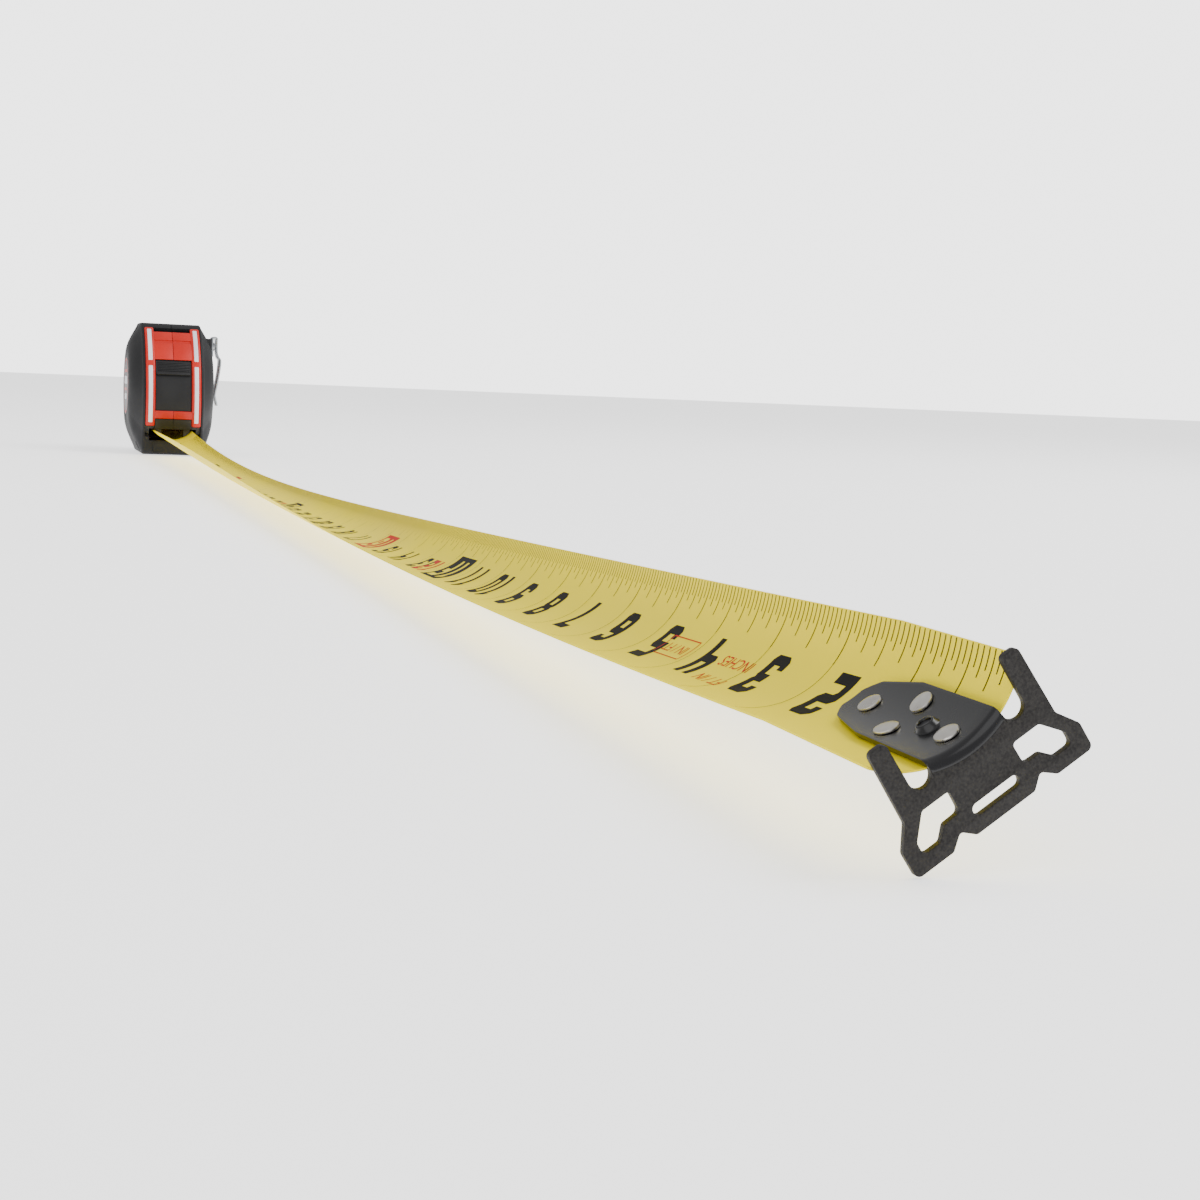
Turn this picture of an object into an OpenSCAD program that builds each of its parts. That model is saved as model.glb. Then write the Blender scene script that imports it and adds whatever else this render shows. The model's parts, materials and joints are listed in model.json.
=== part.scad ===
// Pocket tape measure, blade drawn out and locked, lying on a flat surface.
// Millimetres. Origin on the surface under the reel axis; +X the way the blade
// leaves, +Y the belt clip's side, +Z up.

/* [Case] */
// Height of the case over its rubber
case_h = 90; // [82:1:104]
// From the reel axis back to the rear of the case
back_x = 44; // [42:1:52]
// From the reel axis forward to the front of the case
front_x = 44; // [42:1:52]
// Radius of the curved front, seen from the side
front_r = 61; // [56:1:72]
// Height of the front curve's centre
front_cz = 36; // [32:1:44]
// Radius of the top front corner
top_r = 16; // [12:1:20]
// Radius of the top rear corner
rear_r = 24; // [16:1:28]
// Radius of the lower rear corner
heel_r = 14; // [8:1:18]
// Radius under the chin
chin_r = 5; // [3:0.5:6]
// Half width of the plastic shells
shell_half = 20; // [19:0.5:24]
// Half width at the rubber rim
rim_half = 21.6; // [20.5:0.1:26]
// Half width over the domed rubber at the reel axis
dome_half = 29; // [26:0.5:35]
// Radius of the dome's foot
dome_foot_r = 42; // [38:1:50]
// Radius of the dome's flat crown
dome_top_r = 24; // [22:1:30]
// Thickness of the rubber round the shells
grip_t = 2.5; // [2:0.1:3.5]
// Gap at the centre seam
seam = 0.2; // [0.1:0.05:0.4]

/* [Reel] */
// Height of the reel axis
axis_z = 46; // [44:1:54]
// Outer radius of the flanges
flange_r = 33.5; // [32:0.5:35]
// Thickness of a flange
flange_t = 1.2; // [1:0.1:1.6]
// Outer radius of the drum
drum_r = 21; // [19:0.5:23]
// Wall of the drum
drum_wall = 1.5; // [1.2:0.1:2]
// Outer radius of the wound blade
coil_r = 29; // [26:0.5:30]
// Radius of the fixed arbor
arbor_r = 4.5; // [4:0.1:5.5]
// Running clearance of the reel on its arbor
run_gap = 0.06; // [0.03:0.01:0.1]
// Radial gap round the flanges in the case
reel_gap = 2; // [1.5:0.1:2.5]
// Thickness of a side washer
washer_t = 0.5; // [0.3:0.1:0.6]
// Thickness of the power spring's strip
spring_t = 0.4; // [0.3:0.05:0.5]
// Turns of the power spring
spring_turns = 6; // [4:1:8]

/* [Blade] */
// Width of the blade measured round its curve, 1-3/16 inch
blade_w = 30.2; // [25:0.1:32]
// Radius of the blade's curved section
blade_r = 17.1; // [15:0.1:21]
// Thickness of the blade
blade_t = 0.3; // [0.2:0.05:0.4]
// Length of blade drawn out of the mouth
blade_out = 1120; // [600:10:1400]
// Length at the end that stays straight under the hook
tip_len = 35; // [34.5:0.1:36]
// Height of the blade's lowest line at the mouth
mouth_z = 10.4; // [10.3:0.1:12]
// Roll of the blade at the hook, towards the near side
roll_end = 34.6; // [20:0.1:40]
// Rate of roll at the mouth, degrees per drawn length
roll_start_rate = -133.5; // [-150:0.5:0]
// Rate of roll at the hook, degrees per drawn length
roll_end_rate = 7.5; // [-20:0.5:40]
// Fall at the mouth, per drawn length
sag_start_rate = -36; // [-45:1:0]
// Rise at the hook, per drawn length
sag_end_rate = 40; // [0:1:45]

/* [Hook] */
// Thickness of the hook's steel
hook_t = 1.2; // [0.9:0.1:1.5]
// Half width over the ears
ear_half = 15.2; // [13:0.1:17]
// Drop of the ears below the blade
ear_drop = 10.2; // [9:0.1:10.2]
// Corner radius of the ears
ear_r = 0.9; // [0.6:0.1:1.2]
// Height of the prongs above the blade
prong_h = 8.4; // [6:0.1:10]
// Width of a prong
prong_w = 2.9; // [2.4:0.1:3.4]
// Half width of the tongue that bends back over the blade
tongue_half = 6.2; // [5.6:0.1:6.6]
// Length of the tongue behind the blade's end
tongue_len = 33.6; // [32:0.1:34]
// Half distance between the slot's end centres
slot_half = 3.1; // [2:0.1:3.6]
// Radius of the slot's ends
slot_r = 0.8; // [0.6:0.1:1]
// How far the hook slides on its rivets
hook_play = 1.2; // [0.9:0.1:1.5]
// Radius of a rivet's head
rivet_head_r = 1.9; // [1.6:0.1:2.1]
// Radius of a rivet's shank
rivet_r = 1.1; // [0.9:0.05:1.2]
// Height of a rivet's head
rivet_head_h = 0.8; // [0.5:0.1:1]
// Distance of the two centre rivets behind the blade's end
rivet_near = 4; // [3.5:0.1:5]
rivet_far = 27.5; // [26:0.1:28.5]
// Distance of the side pair behind the blade's end, and its half spacing
rivet_pair = 16.2; // [15:0.1:17.5]
rivet_side = 3.5; // [3.2:0.1:3.8]
// Distance of the raised nail hole behind the blade's end
nail_hole = 9.8; // [9.4:0.1:10.4]

/* [Front] */
// Half width inside the two rails
window_half = 12.2; // [11.8:0.1:13]
// Width of a rail
rail_w = 6.4; // [5.6:0.1:6.8]
// How far the rails stand proud of the front curve
rail_proud = 0.9; // [0.4:0.1:1.4]
// Width of the stripe let into a rail
stripe_w = 3.2; // [2.4:0.1:3.6]
// Thickness of the thumb lock's sliding plate
lock_t = 1.6; // [1.2:0.1:2]
// Height of the thumb lock's fine ribs
rib_h = 0.35; // [0.2:0.05:0.5]
// Clearance round the thumb lock
lock_gap = 0.3; // [0.2:0.05:0.4]
// Swing of the thumb lock from locked to free, in degrees
lock_swing = 5.6; // [4:0.1:6]

// Gap between the lock's wedge and each rail
wedge_gap = 0.6; // [0.4:0.1:1]
// Width of each of the wedge's feet
wedge_foot = 4.2; // [3:0.1:5]
// Half width of the brake pad
pad_half = 12; // [10:0.1:12.5]
// Half width of the front bumper
bumper_half = 13; // [11:0.1:14]

/* [Clip] */
// Thickness of the belt clip's spring steel
clip_t = 1; // [0.8:0.1:1.2]
// Half width of the clip
clip_half = 8; // [6:0.5:9]
// Height of the clip's top bend
clip_top = 80.5; // [78:0.5:82]

/* [Hidden] */
$fn = 96;

eps = 0.05;
front_c = [front_x - front_r, front_cz];
reel_c = [0, axis_z];

// Front curve: where it meets the top corner, and the angles of what sits on it
top_c = [front_c[0] + sqrt(pow(front_r - top_r, 2) - pow(case_h - top_r - front_cz, 2)), case_h - top_r];
top_a = atan2(top_c[1] - front_c[1], top_c[0] - front_c[0]);
lip_low_a = -19;
lip_top_a = -10.8;
bar_top_a = -5.4;
cap_low_a = 28.4;
groove_a = 42.7;
cap_top_a = 51.5;
rail_low_a = -15.5;
rail_top_a = 56;
stripe_split_a = 25.5;
lip_x = front_c[0] + front_r * cos(lip_low_a);

// Radii about the front curve's centre
shell_front_r = front_r - grip_t - 0.2;
plate_in_r = shell_front_r + lock_gap;
plate_out_r = plate_in_r + lock_t;
cover_in_r = plate_out_r + rib_h + lock_gap - 0.05;
rail_out_r = front_r + rail_proud;

// Reel widths
reel_in_half = blade_w / 2 + 0.4;
reel_out_half = reel_in_half + flange_t;
cavity_half = reel_out_half + washer_t + 0.2;
cavity_r = flange_r + reel_gap;
bore_r = arbor_r + run_gap;

// Blade section and path
blade_a = blade_w / 2 / blade_r * 180 / PI;
blade_rise = blade_r * (1 - cos(blade_a));
edge_z = mouth_z + blade_rise;
end_x = lip_x + blade_out;
tip_x = end_x - tip_len;
coil_leave_x = -4;
throat_x = 28;
slot_half_y = blade_w / 2 + 0.7;
slot_low = mouth_z - 0.8;
slot_high = edge_z + 1.2;
end_z = eps + ear_r + (ear_half - ear_r) * sin(roll_end) + (ear_drop - ear_r) * cos(roll_end);

// Hook
tongue_gap = 0.1;
tongue_out_r = blade_r - blade_t - tongue_gap;
tongue_in_r = tongue_out_r - hook_t + 0.2;
hook_back = 0.2;
notch_r = (ear_half - 2.6 - prong_w - tongue_half) / 2;

rivet_places = [[-rivet_far, 0], [-rivet_pair, rivet_side], [-rivet_pair, -rivet_side], [-rivet_near, 0]];
screw_places = [[-2, case_h - 5.6], [-31.5, case_h - 11.5], [-32, 12], [28, 5.4]];
screw_r = 1.25;
screw_head_r = 2.6;
clip_z = clip_top - 5;

function arc(c, r, a0, a1, n) =
    [for (i = [0:n]) c + r * [cos(a0 + (a1 - a0) * i / n), sin(a0 + (a1 - a0) * i / n)]];
function unit(v) = v / norm(v);
function ease(t) = let(u = max(0, min(1, t))) u * u * (3 - 2 * u);
function hermite(p0, m0, p1, m1, s) =
    p0 * (2 * s * s * s - 3 * s * s + 1) + m0 * (s * s * s - 2 * s * s + s)
    + p1 * (3 * s * s - 2 * s * s * s) + m1 * (s * s * s - s * s);

// An outline's corner p1 rounded to radius r
function corner(p0, p1, p2, r, n = 4) =
    let(a = unit(p0 - p1), b = unit(p2 - p1), half = acos(a * b) / 2,
        c = p1 + unit(a + b) * r / sin(half),
        s = p1 + a * r / tan(half) - c, e = p1 + b * r / tan(half) - c,
        a0 = atan2(s[1], s[0]), d = atan2(e[1], e[0]) - a0,
        turn = d > 180 ? d - 360 : d < -180 ? d + 360 : d)
    [for (i = [0:n]) c + r * [cos(a0 + turn * i / n), sin(a0 + turn * i / n)]];
function rounded(p, r) =
    [for (i = [0:len(p) - 1]) each corner(p[(i + len(p) - 1) % len(p)], p[i], p[(i + 1) % len(p)], r[i])];

// A strip of thickness t along the points p
function side(p, d) = [for (i = [0:len(p) - 1])
    let(a = i == 0 ? p[1] - p[0] : unit(p[i] - p[i - 1]),
        b = i == len(p) - 1 ? p[i] - p[i - 1] : unit(p[min(i + 1, len(p) - 1)] - p[i]),
        m = unit(unit(a) + unit(b)), k = 1 / max(0.5, m * unit(b)))
    p[i] + d * k * [-m[1], m[0]]];
function strip(p, t) =
    let(u = side(p, t / 2), v = side(p, -t / 2)) concat(u, [for (i = [len(v) - 1:-1:0]) v[i]]);

// Side outline of the case, drawn in by d
function outline(d) = concat(
    arc(front_c, front_r - d, lip_low_a, top_a, 24),
    arc(top_c, top_r - d, top_a, 90, 6),
    arc([rear_r - back_x, case_h - rear_r], rear_r - d, 90, 180, 14),
    arc([heel_r - back_x, heel_r], heel_r - d, 180, 270, 10),
    arc([lip_x - chin_r, chin_r], chin_r - d, 270, 360, 6));

// Draws a side outline between two values of y
module along_y(y0, y1) {
    translate([0, y1, 0]) rotate([90, 0, 0]) linear_extrude(y1 - y0) children();
}

module disc(r, y0, y1, at = reel_c) {
    along_y(y0, y1) translate(at) circle(r);
}

module ring(r0, r1, y0, y1) {
    along_y(y0, y1) translate(reel_c) difference() {
        circle(r1);
        circle(r0);
    }
}

// A band of the front curve between two radii and two angles
module band(r0, r1, a0, a1) {
    translate(front_c) intersection() {
        difference() {
            circle(r1, $fn = 144);
            circle(r0, $fn = 144);
        }
        polygon(concat([[0, 0]], arc([0, 0], 2 * r1, a0, a1, 8)));
    }
}

module box_yz(x0, x1, half_y, z0, z1) {
    translate([x0, -half_y, z0]) cube([x1 - x0, 2 * half_y, z1 - z0]);
}

// Everything on the +Y side, or its mirror image on the -Y side
module on_side(s) {
    mirror([0, s > 0 ? 0 : 1, 0]) children();
}

module throat() {
    box_yz(coil_leave_x - 6, front_x + 10, slot_half_y, slot_low, slot_high);
}

// Outline that the two shells fill, with the recess for the front pieces
module shell_outline(d) {
    intersection() {
        polygon(outline(d));
        union() {
            translate(front_c) circle(shell_front_r, $fn = 144);
            translate([-200, -10]) square([200 + lip_x - grip_t, slot_low + 10]);
        }
    }
}

// Room for the wedge behind the thumb lock
module wedge_room() {
    half = window_half - 0.1;
    along_y(-half, half) intersection() {
        translate(front_c) circle(plate_out_r, $fn = 144);
        translate([32.4, slot_high - 1]) square([20, 14.5]);
    }
}

module shell(s) {
    difference() {
        on_side(s) difference() {
            union() {
                along_y(seam / 2, shell_half) shell_outline(grip_t);
                along_y(seam / 2, window_half - 0.1) band(shell_front_r - 1, rail_out_r - 0.3, lip_low_a + 1.6, lip_top_a);
            }
            disc(cavity_r, -1, cavity_half);
            disc(arbor_r + eps, -1, cavity_half + 1.8);
            along_y(-1, window_half - 0.05) band(shell_front_r, cover_in_r, -15.2, 45);
            along_y(-1, 4.2) band(shell_front_r - 1.6, shell_front_r + 1, 4, 16);
        }
        throat();
        wedge_room();
        box_yz(31.9, 38.1, pad_half + 0.1, slot_low - 1.15, slot_low + 1);
        for (p = screw_places) {
            disc(screw_r + eps, -shell_half - 1, 15, p);
            disc(screw_head_r + 0.15, -shell_half - 1, -shell_half + 2, p);
        }
        if (s > 0) disc(1.6, 0, shell_half + 1, [0, clip_z]);
    }
}

module case_left() { color("#2b2c2e") shell(-1); }
module case_right() { color("#2b2c2e") shell(1); }

// Half of the rubber overmould
module grip(s) {
    difference() {
        on_side(s) {
            difference() {
                union() {
                    along_y(seam / 2, rim_half - 1) polygon(outline(0));
                    along_y(rim_half - 1.5, rim_half) polygon(outline(0.8));
                    intersection() {
                        along_y(seam, dome_half + 1) polygon(outline(1.2));
                        dome();
                    }
                    if (s > 0) along_y(seam / 2 + 1, dome_half)
                        polygon(rounded([[-10, 62], [10, 62], [10, clip_top + 1], [-10, clip_top + 1]], [2, 2, 3, 3]));
                }
                along_y(-1, shell_half + eps) polygon(outline(grip_t - eps));
                along_y(-1, window_half + rail_w + eps) band(front_r - 10, front_r + 5, lip_low_a - 3, rail_top_a + 0.3);
                disc(20.1, dome_half - 0.55, dome_half + 2);
                if (s > 0) disc(1.7, 0, dome_half + 2, [0, clip_z]);
            }
        }
        throat();
        box_yz(lip_x - 10, lip_x + 5, bumper_half + 0.1, 1.4, 8.6);
        if (s < 0) for (p = screw_places) disc(screw_head_r + 0.5, -dome_half - 5, -shell_half + 1, p);
    }
}

module dome() {
    step = (dome_foot_r - dome_top_r) / 3;
    rise = dome_half - shell_half;
    translate([0, 0, axis_z]) rotate([-90, 0, 0]) rotate_extrude() polygon([
        [0, shell_half - 3], [dome_foot_r, shell_half - 3], [dome_foot_r, shell_half + rise * 0.1],
        [dome_foot_r - step * 0.7, shell_half + rise * 0.45], [dome_foot_r - 2 * step, shell_half + rise * 0.8],
        [dome_top_r, dome_half], [0, dome_half]
    ]);
}

module grip_left() { color("#1d1e20") grip(-1); }
module grip_right() { color("#1d1e20") grip(1); }

// Rail with its half of the cap over the lock and of the bar under it
module rail(s) {
    outer = window_half + rail_w;
    on_side(s) difference() {
        union() {
            along_y(window_half, outer) band(shell_front_r + eps, rail_out_r, rail_low_a, rail_top_a);
            along_y(seam / 2, window_half) difference() {
                band(cover_in_r, rail_out_r - 0.2, cap_low_a, cap_top_a);
                translate(front_c + (rail_out_r + 0.3) * [cos(groove_a), sin(groove_a)]) circle(1.1);
            }
            along_y(seam / 2, window_half) band(cover_in_r, rail_out_r - 0.3, lip_top_a + 0.2, bar_top_a);
        }
        for (a = [[rail_low_a + 1.5, stripe_split_a - 1], [stripe_split_a + 1, rail_top_a - 1.5]])
            along_y(window_half + (rail_w - stripe_w) / 2, window_half + (rail_w + stripe_w) / 2)
                band(rail_out_r - 0.6, rail_out_r + 1, a[0], a[1]);
    }
}

module rail_left() { color("#c8261e") rail(-1); }
module rail_right() { color("#c8261e") rail(1); }

module stripe(s, a0, a1) {
    half = stripe_w / 2 - eps;
    on_side(s) along_y(window_half + rail_w / 2 - half, window_half + rail_w / 2 + half)
        band(rail_out_r - 0.6 + eps, rail_out_r + 0.05, a0 + eps, a1 - eps);
}

module stripe_left_upper() { color("#e9eaee") stripe(-1, stripe_split_a + 1, rail_top_a - 1.5); }
module stripe_left_lower() { color("#e9eaee") stripe(-1, rail_low_a + 1.5, stripe_split_a - 1); }
module stripe_right_upper() { color("#e9eaee") stripe(1, stripe_split_a + 1, rail_top_a - 1.5); }
module stripe_right_lower() { color("#e9eaee") stripe(1, rail_low_a + 1.5, stripe_split_a - 1); }

module bumper() {
    color("#151515") box_yz(lip_x - grip_t + eps, lip_x + 0.9, bumper_half, 1.5, 8.5);
}

module brake_pad() {
    color("#3a2d28") box_yz(32, 38, pad_half, slot_low - 1.1, slot_low);
}

// Leaf that clicks the thumb lock into place
module lock_spring() {
    color("#a9adb2") along_y(-4, 4) union() {
        band(shell_front_r - 1.5, shell_front_r - 1.1, 4.5, 15.5);
        band(shell_front_r - 1.3, shell_front_r + lock_gap - 0.1, 9.6, 10.4);
    }
}

module arbor() {
    color("#b8bcc2") difference() {
        disc(arbor_r, -cavity_half - 1.7, cavity_half + 1.7);
        translate([-0.4, -cavity_half + 2, axis_z - arbor_r - 1]) cube([0.8, 2 * cavity_half - 4, arbor_r]);
    }
}

module washer(s) {
    on_side(s) ring(arbor_r + 0.1, 9, reel_out_half + 0.1, reel_out_half + 0.1 + washer_t);
}

module washer_left() { color("#d9d6cc") washer(-1); }
module washer_right() { color("#d9d6cc") washer(1); }

// Cross-head screw driven in from the left side
module case_screw(i) {
    p = screw_places[i];
    color("#8d9196") difference() {
        union() {
            disc(screw_r, -shell_half + 1, 14, p);
            disc(screw_head_r, -shell_half + 0.2, -shell_half + 1.9, p);
        }
        for (w = [[3, 0.7], [0.7, 3]])
            translate([p[0] - w[0] / 2, -shell_half, p[1] - w[1] / 2]) cube([w[0], 1.1, w[1]]);
    }
}

module case_screw_1() { case_screw(0); }
module case_screw_2() { case_screw(1); }
module case_screw_3() { case_screw(2); }
module case_screw_4() { case_screw(3); }

// Spring-steel clip: foot, top bend, shoulder and flared toe
module belt_clip() {
    foot_y = dome_half + clip_t / 2 + eps;
    bend_r = 1.6;
    path = concat(
        [[foot_y, clip_z - 7]],
        arc([foot_y + bend_r, clip_top], bend_r, 180, 0, 8),
        [[foot_y + 2 * bend_r, clip_top - 10.5], [foot_y + 5.7, clip_top - 14.5],
         [foot_y + 2.4, clip_top - 39], [foot_y + 4.2, clip_top - 46.5]]);
    color("#b9bdc3") difference() {
        translate([-clip_half, 0, 0]) rotate([90, 0, 90]) linear_extrude(2 * clip_half) polygon(strip(path, clip_t));
        disc(1.7, dome_half - 1, foot_y + clip_t, [0, clip_z]);
    }
}

module clip_screw() {
    seat = dome_half + clip_t + 2 * eps;
    color("#8d9196") difference() {
        union() {
            disc(1.5, shell_half - 2.2, seat + 0.5, [0, clip_z]);
            disc(3, seat, seat + 1.2, [0, clip_z]);
        }
        for (w = [[3.4, 0.8], [0.8, 3.4]])
            translate([-w[0] / 2, seat + 0.5, clip_z - w[1] / 2]) cube([w[0], 2, w[1]]);
    }
}

module label(s) {
    on_side(s) disc(20, dome_half - 0.5, dome_half - 0.05);
}

module label_left() { color("#b3372c") label(-1); }
module label_right() { color("#3b3d40") label(1); }

// Sliding front plate with its thumb ridge and fine ribs
module thumb_lock() {
    half = window_half - lock_gap;
    color("#26272a") union() {
        along_y(-half, half) band(plate_in_r, plate_out_r, -14, 35);
        along_y(-half + 0.6, half - 0.6) band(plate_out_r - 0.5, plate_out_r + 2, 17.8, 19.6);
        for (a = [20.8:1.1:26]) along_y(-half + 1, half - 1) band(plate_out_r - 0.5, plate_out_r + rib_h, a, a + 0.55);
    }
}

// Two-footed wedge that presses the blade's flanks onto the brake pad
module lock_wedge() {
    foot_gap = 0.3;
    half = window_half - wedge_gap;
    color("#6b6e73") difference() {
        union() {
            box_yz(33, 39, half, slot_high + 2.4, slot_high + 6);
            for (s = [-1, 1]) on_side(s) translate([33, half - wedge_foot, mouth_z])
                cube([5, wedge_foot, slot_high + 5 - mouth_z]);
            intersection() {
                along_y(-half, half) band(front_r - 22, plate_in_r, -15, -2);
                box_yz(36, front_x, half, slot_high + 2.4, slot_high + 6);
            }
        }
        translate([30, 0, mouth_z + blade_r]) rotate([0, 90, 0]) difference() {
            cylinder(r = blade_r + 30, h = 20);
            translate([0, 0, -1]) cylinder(r = blade_r - blade_t - foot_gap, h = 22);
            translate([-40 - 5, -40, -1]) cube([40, 80, 22]);
        }
    }
}

module reel_drum() {
    color("#4a4c50") union() {
        ring(drum_r - drum_wall, drum_r, -reel_in_half - flange_t / 2, reel_in_half - eps);
        ring(bore_r, flange_r, -reel_out_half, -reel_in_half);
    }
}

module reel_flange() {
    color("#4a4c50") ring(bore_r, flange_r, reel_in_half, reel_out_half);
}

module blade_coil() {
    color("#e6cf1c") ring(drum_r + eps, coil_r, -blade_w / 2, blade_w / 2);
}

// Flat spiral strip wound between the drum and the arbor
module power_spring() {
    r_in = arbor_r + 1.8;
    r_out = drum_r - drum_wall - spring_t / 2 - 0.1;
    n = 24 * spring_turns;
    half = blade_w / 2 - 0.6;
    path = [for (i = [0:n])
        let(r = r_in + (r_out - r_in) * i / n, a = 360 * spring_turns * i / n) r * [cos(a), sin(a)]];
    color("#8f9499") along_y(-half, half) translate(reel_c) polygon(strip(path, spring_t));
}

// One ring of the blade: lowest line at height z, section angle a, rolled about that line
function blade_ring(x, z, roll, a) =
    let(r = blade_w / 2 / a * 180 / PI, n = 5,
        top = [for (i = [-n:n]) (r - blade_t) * [sin(a * i / n), -cos(a * i / n)]],
        low = [for (i = [n:-1:-n]) r * [sin(a * i / n), -cos(a * i / n)]])
    [for (p = concat(top, low)) let(y = p[0], h = p[1] + r)
        [x, y * cos(roll) - h * sin(roll), z + y * sin(roll) + h * cos(roll)]];

function blade_at(x) =
    x < lip_x
    ? let(a = 2 + (blade_a - 2) * ease((x - coil_leave_x) / (throat_x - coil_leave_x)),
          r = blade_w / 2 / a * 180 / PI)
      blade_ring(x, edge_z - r * (1 - cos(a)), 0, a)
    : let(s = (x - lip_x) / (tip_x - lip_x))
      blade_ring(x, hermite(mouth_z, sag_start_rate, end_z, sag_end_rate, s),
                 hermite(0, roll_start_rate, roll_end, roll_end_rate, s), blade_a);

// The drawn blade, from where it leaves the coil to the straight tip
module blade() {
    inside = [for (i = [0:9]) coil_leave_x + (lip_x - coil_leave_x) * i / 10];
    outside = [for (i = [0:44]) lip_x + (tip_x - 0.1 - lip_x) * i / 44];
    xs = concat(inside, outside);
    m = 22;
    points = [for (x = xs) each blade_at(x)];
    // Both faces are split along the same diagonal, so the sheet keeps its thickness
    walls = [for (k = [0:len(xs) - 2], j = [0:m - 1])
        let(a = k * m + j, b = k * m + (j + 1) % m, c = b + m, d = a + m)
        each (j < m / 2 ? [[a, b, c], [a, c, d]] : [[a, b, d], [b, c, d]])];
    caps = [[for (j = [m - 1:-1:0]) j], [for (j = [0:m - 1]) (len(xs) - 1) * m + j]];
    color("#f2dc10") polyhedron(points, concat(walls, caps));
}

// Frame of the blade's end: lowest line of the section on the X axis, end at x = 0
module at_tip() {
    translate([end_x, 0, end_z]) rotate([roll_end, 0, 0]) children();
}

// Draws a section in y and z along x from x0 to x1
module along_x(x0, x1) {
    translate([x0, 0, 0]) rotate([90, 0, 90]) linear_extrude(x1 - x0) children();
}

module curved_band(r0, r1, a) {
    translate([0, blade_r]) intersection() {
        difference() {
            circle(r1);
            circle(r0);
        }
        polygon(concat([[0, 0]], arc([0, 0], 2 * r1, -90 - a, -90 + a, 8)));
    }
}

// Stands on the blade at a rivet's place, square to its curve, and back by d
module at_rivet(p, d = 0) {
    translate([p[0] - d, 0, blade_r]) rotate([asin(p[1] / blade_r), 0, 0]) translate([0, 0, -blade_r]) children();
}

module rivet_hole(p, r, d = 0) {
    at_rivet(p, d) translate([0, 0, -2]) cylinder(r = r, h = 8, $fn = 32);
}

module blade_tip() {
    color("#f2dc10") at_tip() difference() {
        along_x(-tip_len, 0) curved_band(blade_r - blade_t, blade_r, blade_a);
        for (p = rivet_places) rivet_hole(p, rivet_r + 0.05);
        translate([-nail_hole, 0, -2]) cylinder(r = 1, h = 8, $fn = 32);
    }
}

// Rivet with a button head over the tongue and a peened foot under the blade
module rivet(i) {
    p = rivet_places[i];
    seat = blade_t + 2 * tongue_gap + hook_t - 0.2;
    color("#c9ccd0") at_tip() at_rivet(p) union() {
        translate([0, 0, -0.4]) cylinder(r = rivet_r, h = seat + 0.9, $fn = 32);
        translate([0, 0, seat + 0.15]) cylinder(r = rivet_head_r, h = rivet_head_h, $fn = 48);
        translate([0, 0, -0.5]) cylinder(r = rivet_r + 0.5, h = 0.45, $fn = 32);
    }
}

module rivet_1() { rivet(0); }
module rivet_2() { rivet(1); }
module rivet_3() { rivet(2); }
module rivet_4() { rivet(3); }

// Half outline of the front plate, from the tongue's edge round to the centre bottom
function hook_half() = let(
    prong_in = tongue_half + 2 * notch_r,
    prong_out = prong_in + prong_w) concat(
    [[tongue_half, 3.6]],
    arc([tongue_half + notch_r, 1.65], notch_r, 180, 360, 8),
    corner([prong_in, 0], [prong_in, prong_h], [prong_out, prong_h], 0.7),
    corner([prong_in, prong_h], [prong_out, prong_h], [prong_out, 0], 0.7),
    corner([prong_out, 0], [prong_out + 0.3, -2.7], [ear_half, -6], 0.8),
    corner([prong_out, -2.7], [ear_half, -6], [ear_half, -ear_drop], 0.8),
    corner([ear_half, 0], [ear_half, -ear_drop], [0, -ear_drop], ear_r),
    corner([20, -ear_drop], [9, -ear_drop], [6.9, -8.4], 0.8),
    corner([9, -ear_drop], [6.9, -8.4], [5, -ear_drop], 0.6),
    corner([6.9, -8.4], [5, -ear_drop], [0, -ear_drop], 0.8));

function ear_window() = rounded(
    [[5.4, -2.6], [10, -2.6], [ear_half - 2.45, -5.9], [ear_half - 2.4, 2.35 - ear_drop],
     [9.9, 2.35 - ear_drop], [8.3, -6.1], [5.5, -6]],
    [0.5, 0.6, 0.7, 0.7, 0.7, 0.7, 0.8]);

module mirrored_2d() {
    children();
    mirror([1, 0]) children();
}

// The hook: pierced front plate, and a tongue bent back over the blade
module hook_plate() {
    half = hook_half();
    tail = [[hook_back + hook_t, tongue_half], [-20.5, tongue_half], [-30.6, 4.3], [-tongue_len, 2.3]];
    color("#2e3033") at_tip() difference() {
        union() {
            along_x(hook_back, hook_back + hook_t) difference() {
                polygon(concat(half, [for (i = [len(half) - 1:-1:0]) [-half[i][0], half[i][1]]]));
                mirrored_2d() polygon(ear_window());
                for (s = [-1, 1]) translate([s * slot_half, -7.2]) circle(slot_r, $fn = 32);
                translate([-slot_half, -7.2 - slot_r]) square([2 * slot_half, 2 * slot_r]);
                translate([0, blade_r]) circle(tongue_in_r);
            }
            intersection() {
                along_x(-tongue_len, hook_back + hook_t) curved_band(tongue_in_r, tongue_out_r, 30);
                translate([0, 0, -1]) linear_extrude(6)
                    polygon(concat(tail, [for (i = [3:-1:0]) [tail[i][0], -tail[i][1]]]));
            }
            translate([-nail_hole, 0, 0.8]) cylinder(r = 1.8, h = 1.3, $fn = 32);
        }
        for (p = rivet_places) {
            rivet_hole(p, rivet_r + 0.1);
            rivet_hole(p, rivet_r + 0.1, hook_play);
            at_rivet(p, hook_play) translate([0, -rivet_r - 0.1, -2]) cube([hook_play, 2 * rivet_r + 0.2, 8]);
        }
        translate([-nail_hole, 0, -2]) cylinder(r = 1, h = 8, $fn = 32);
    }
}

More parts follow.
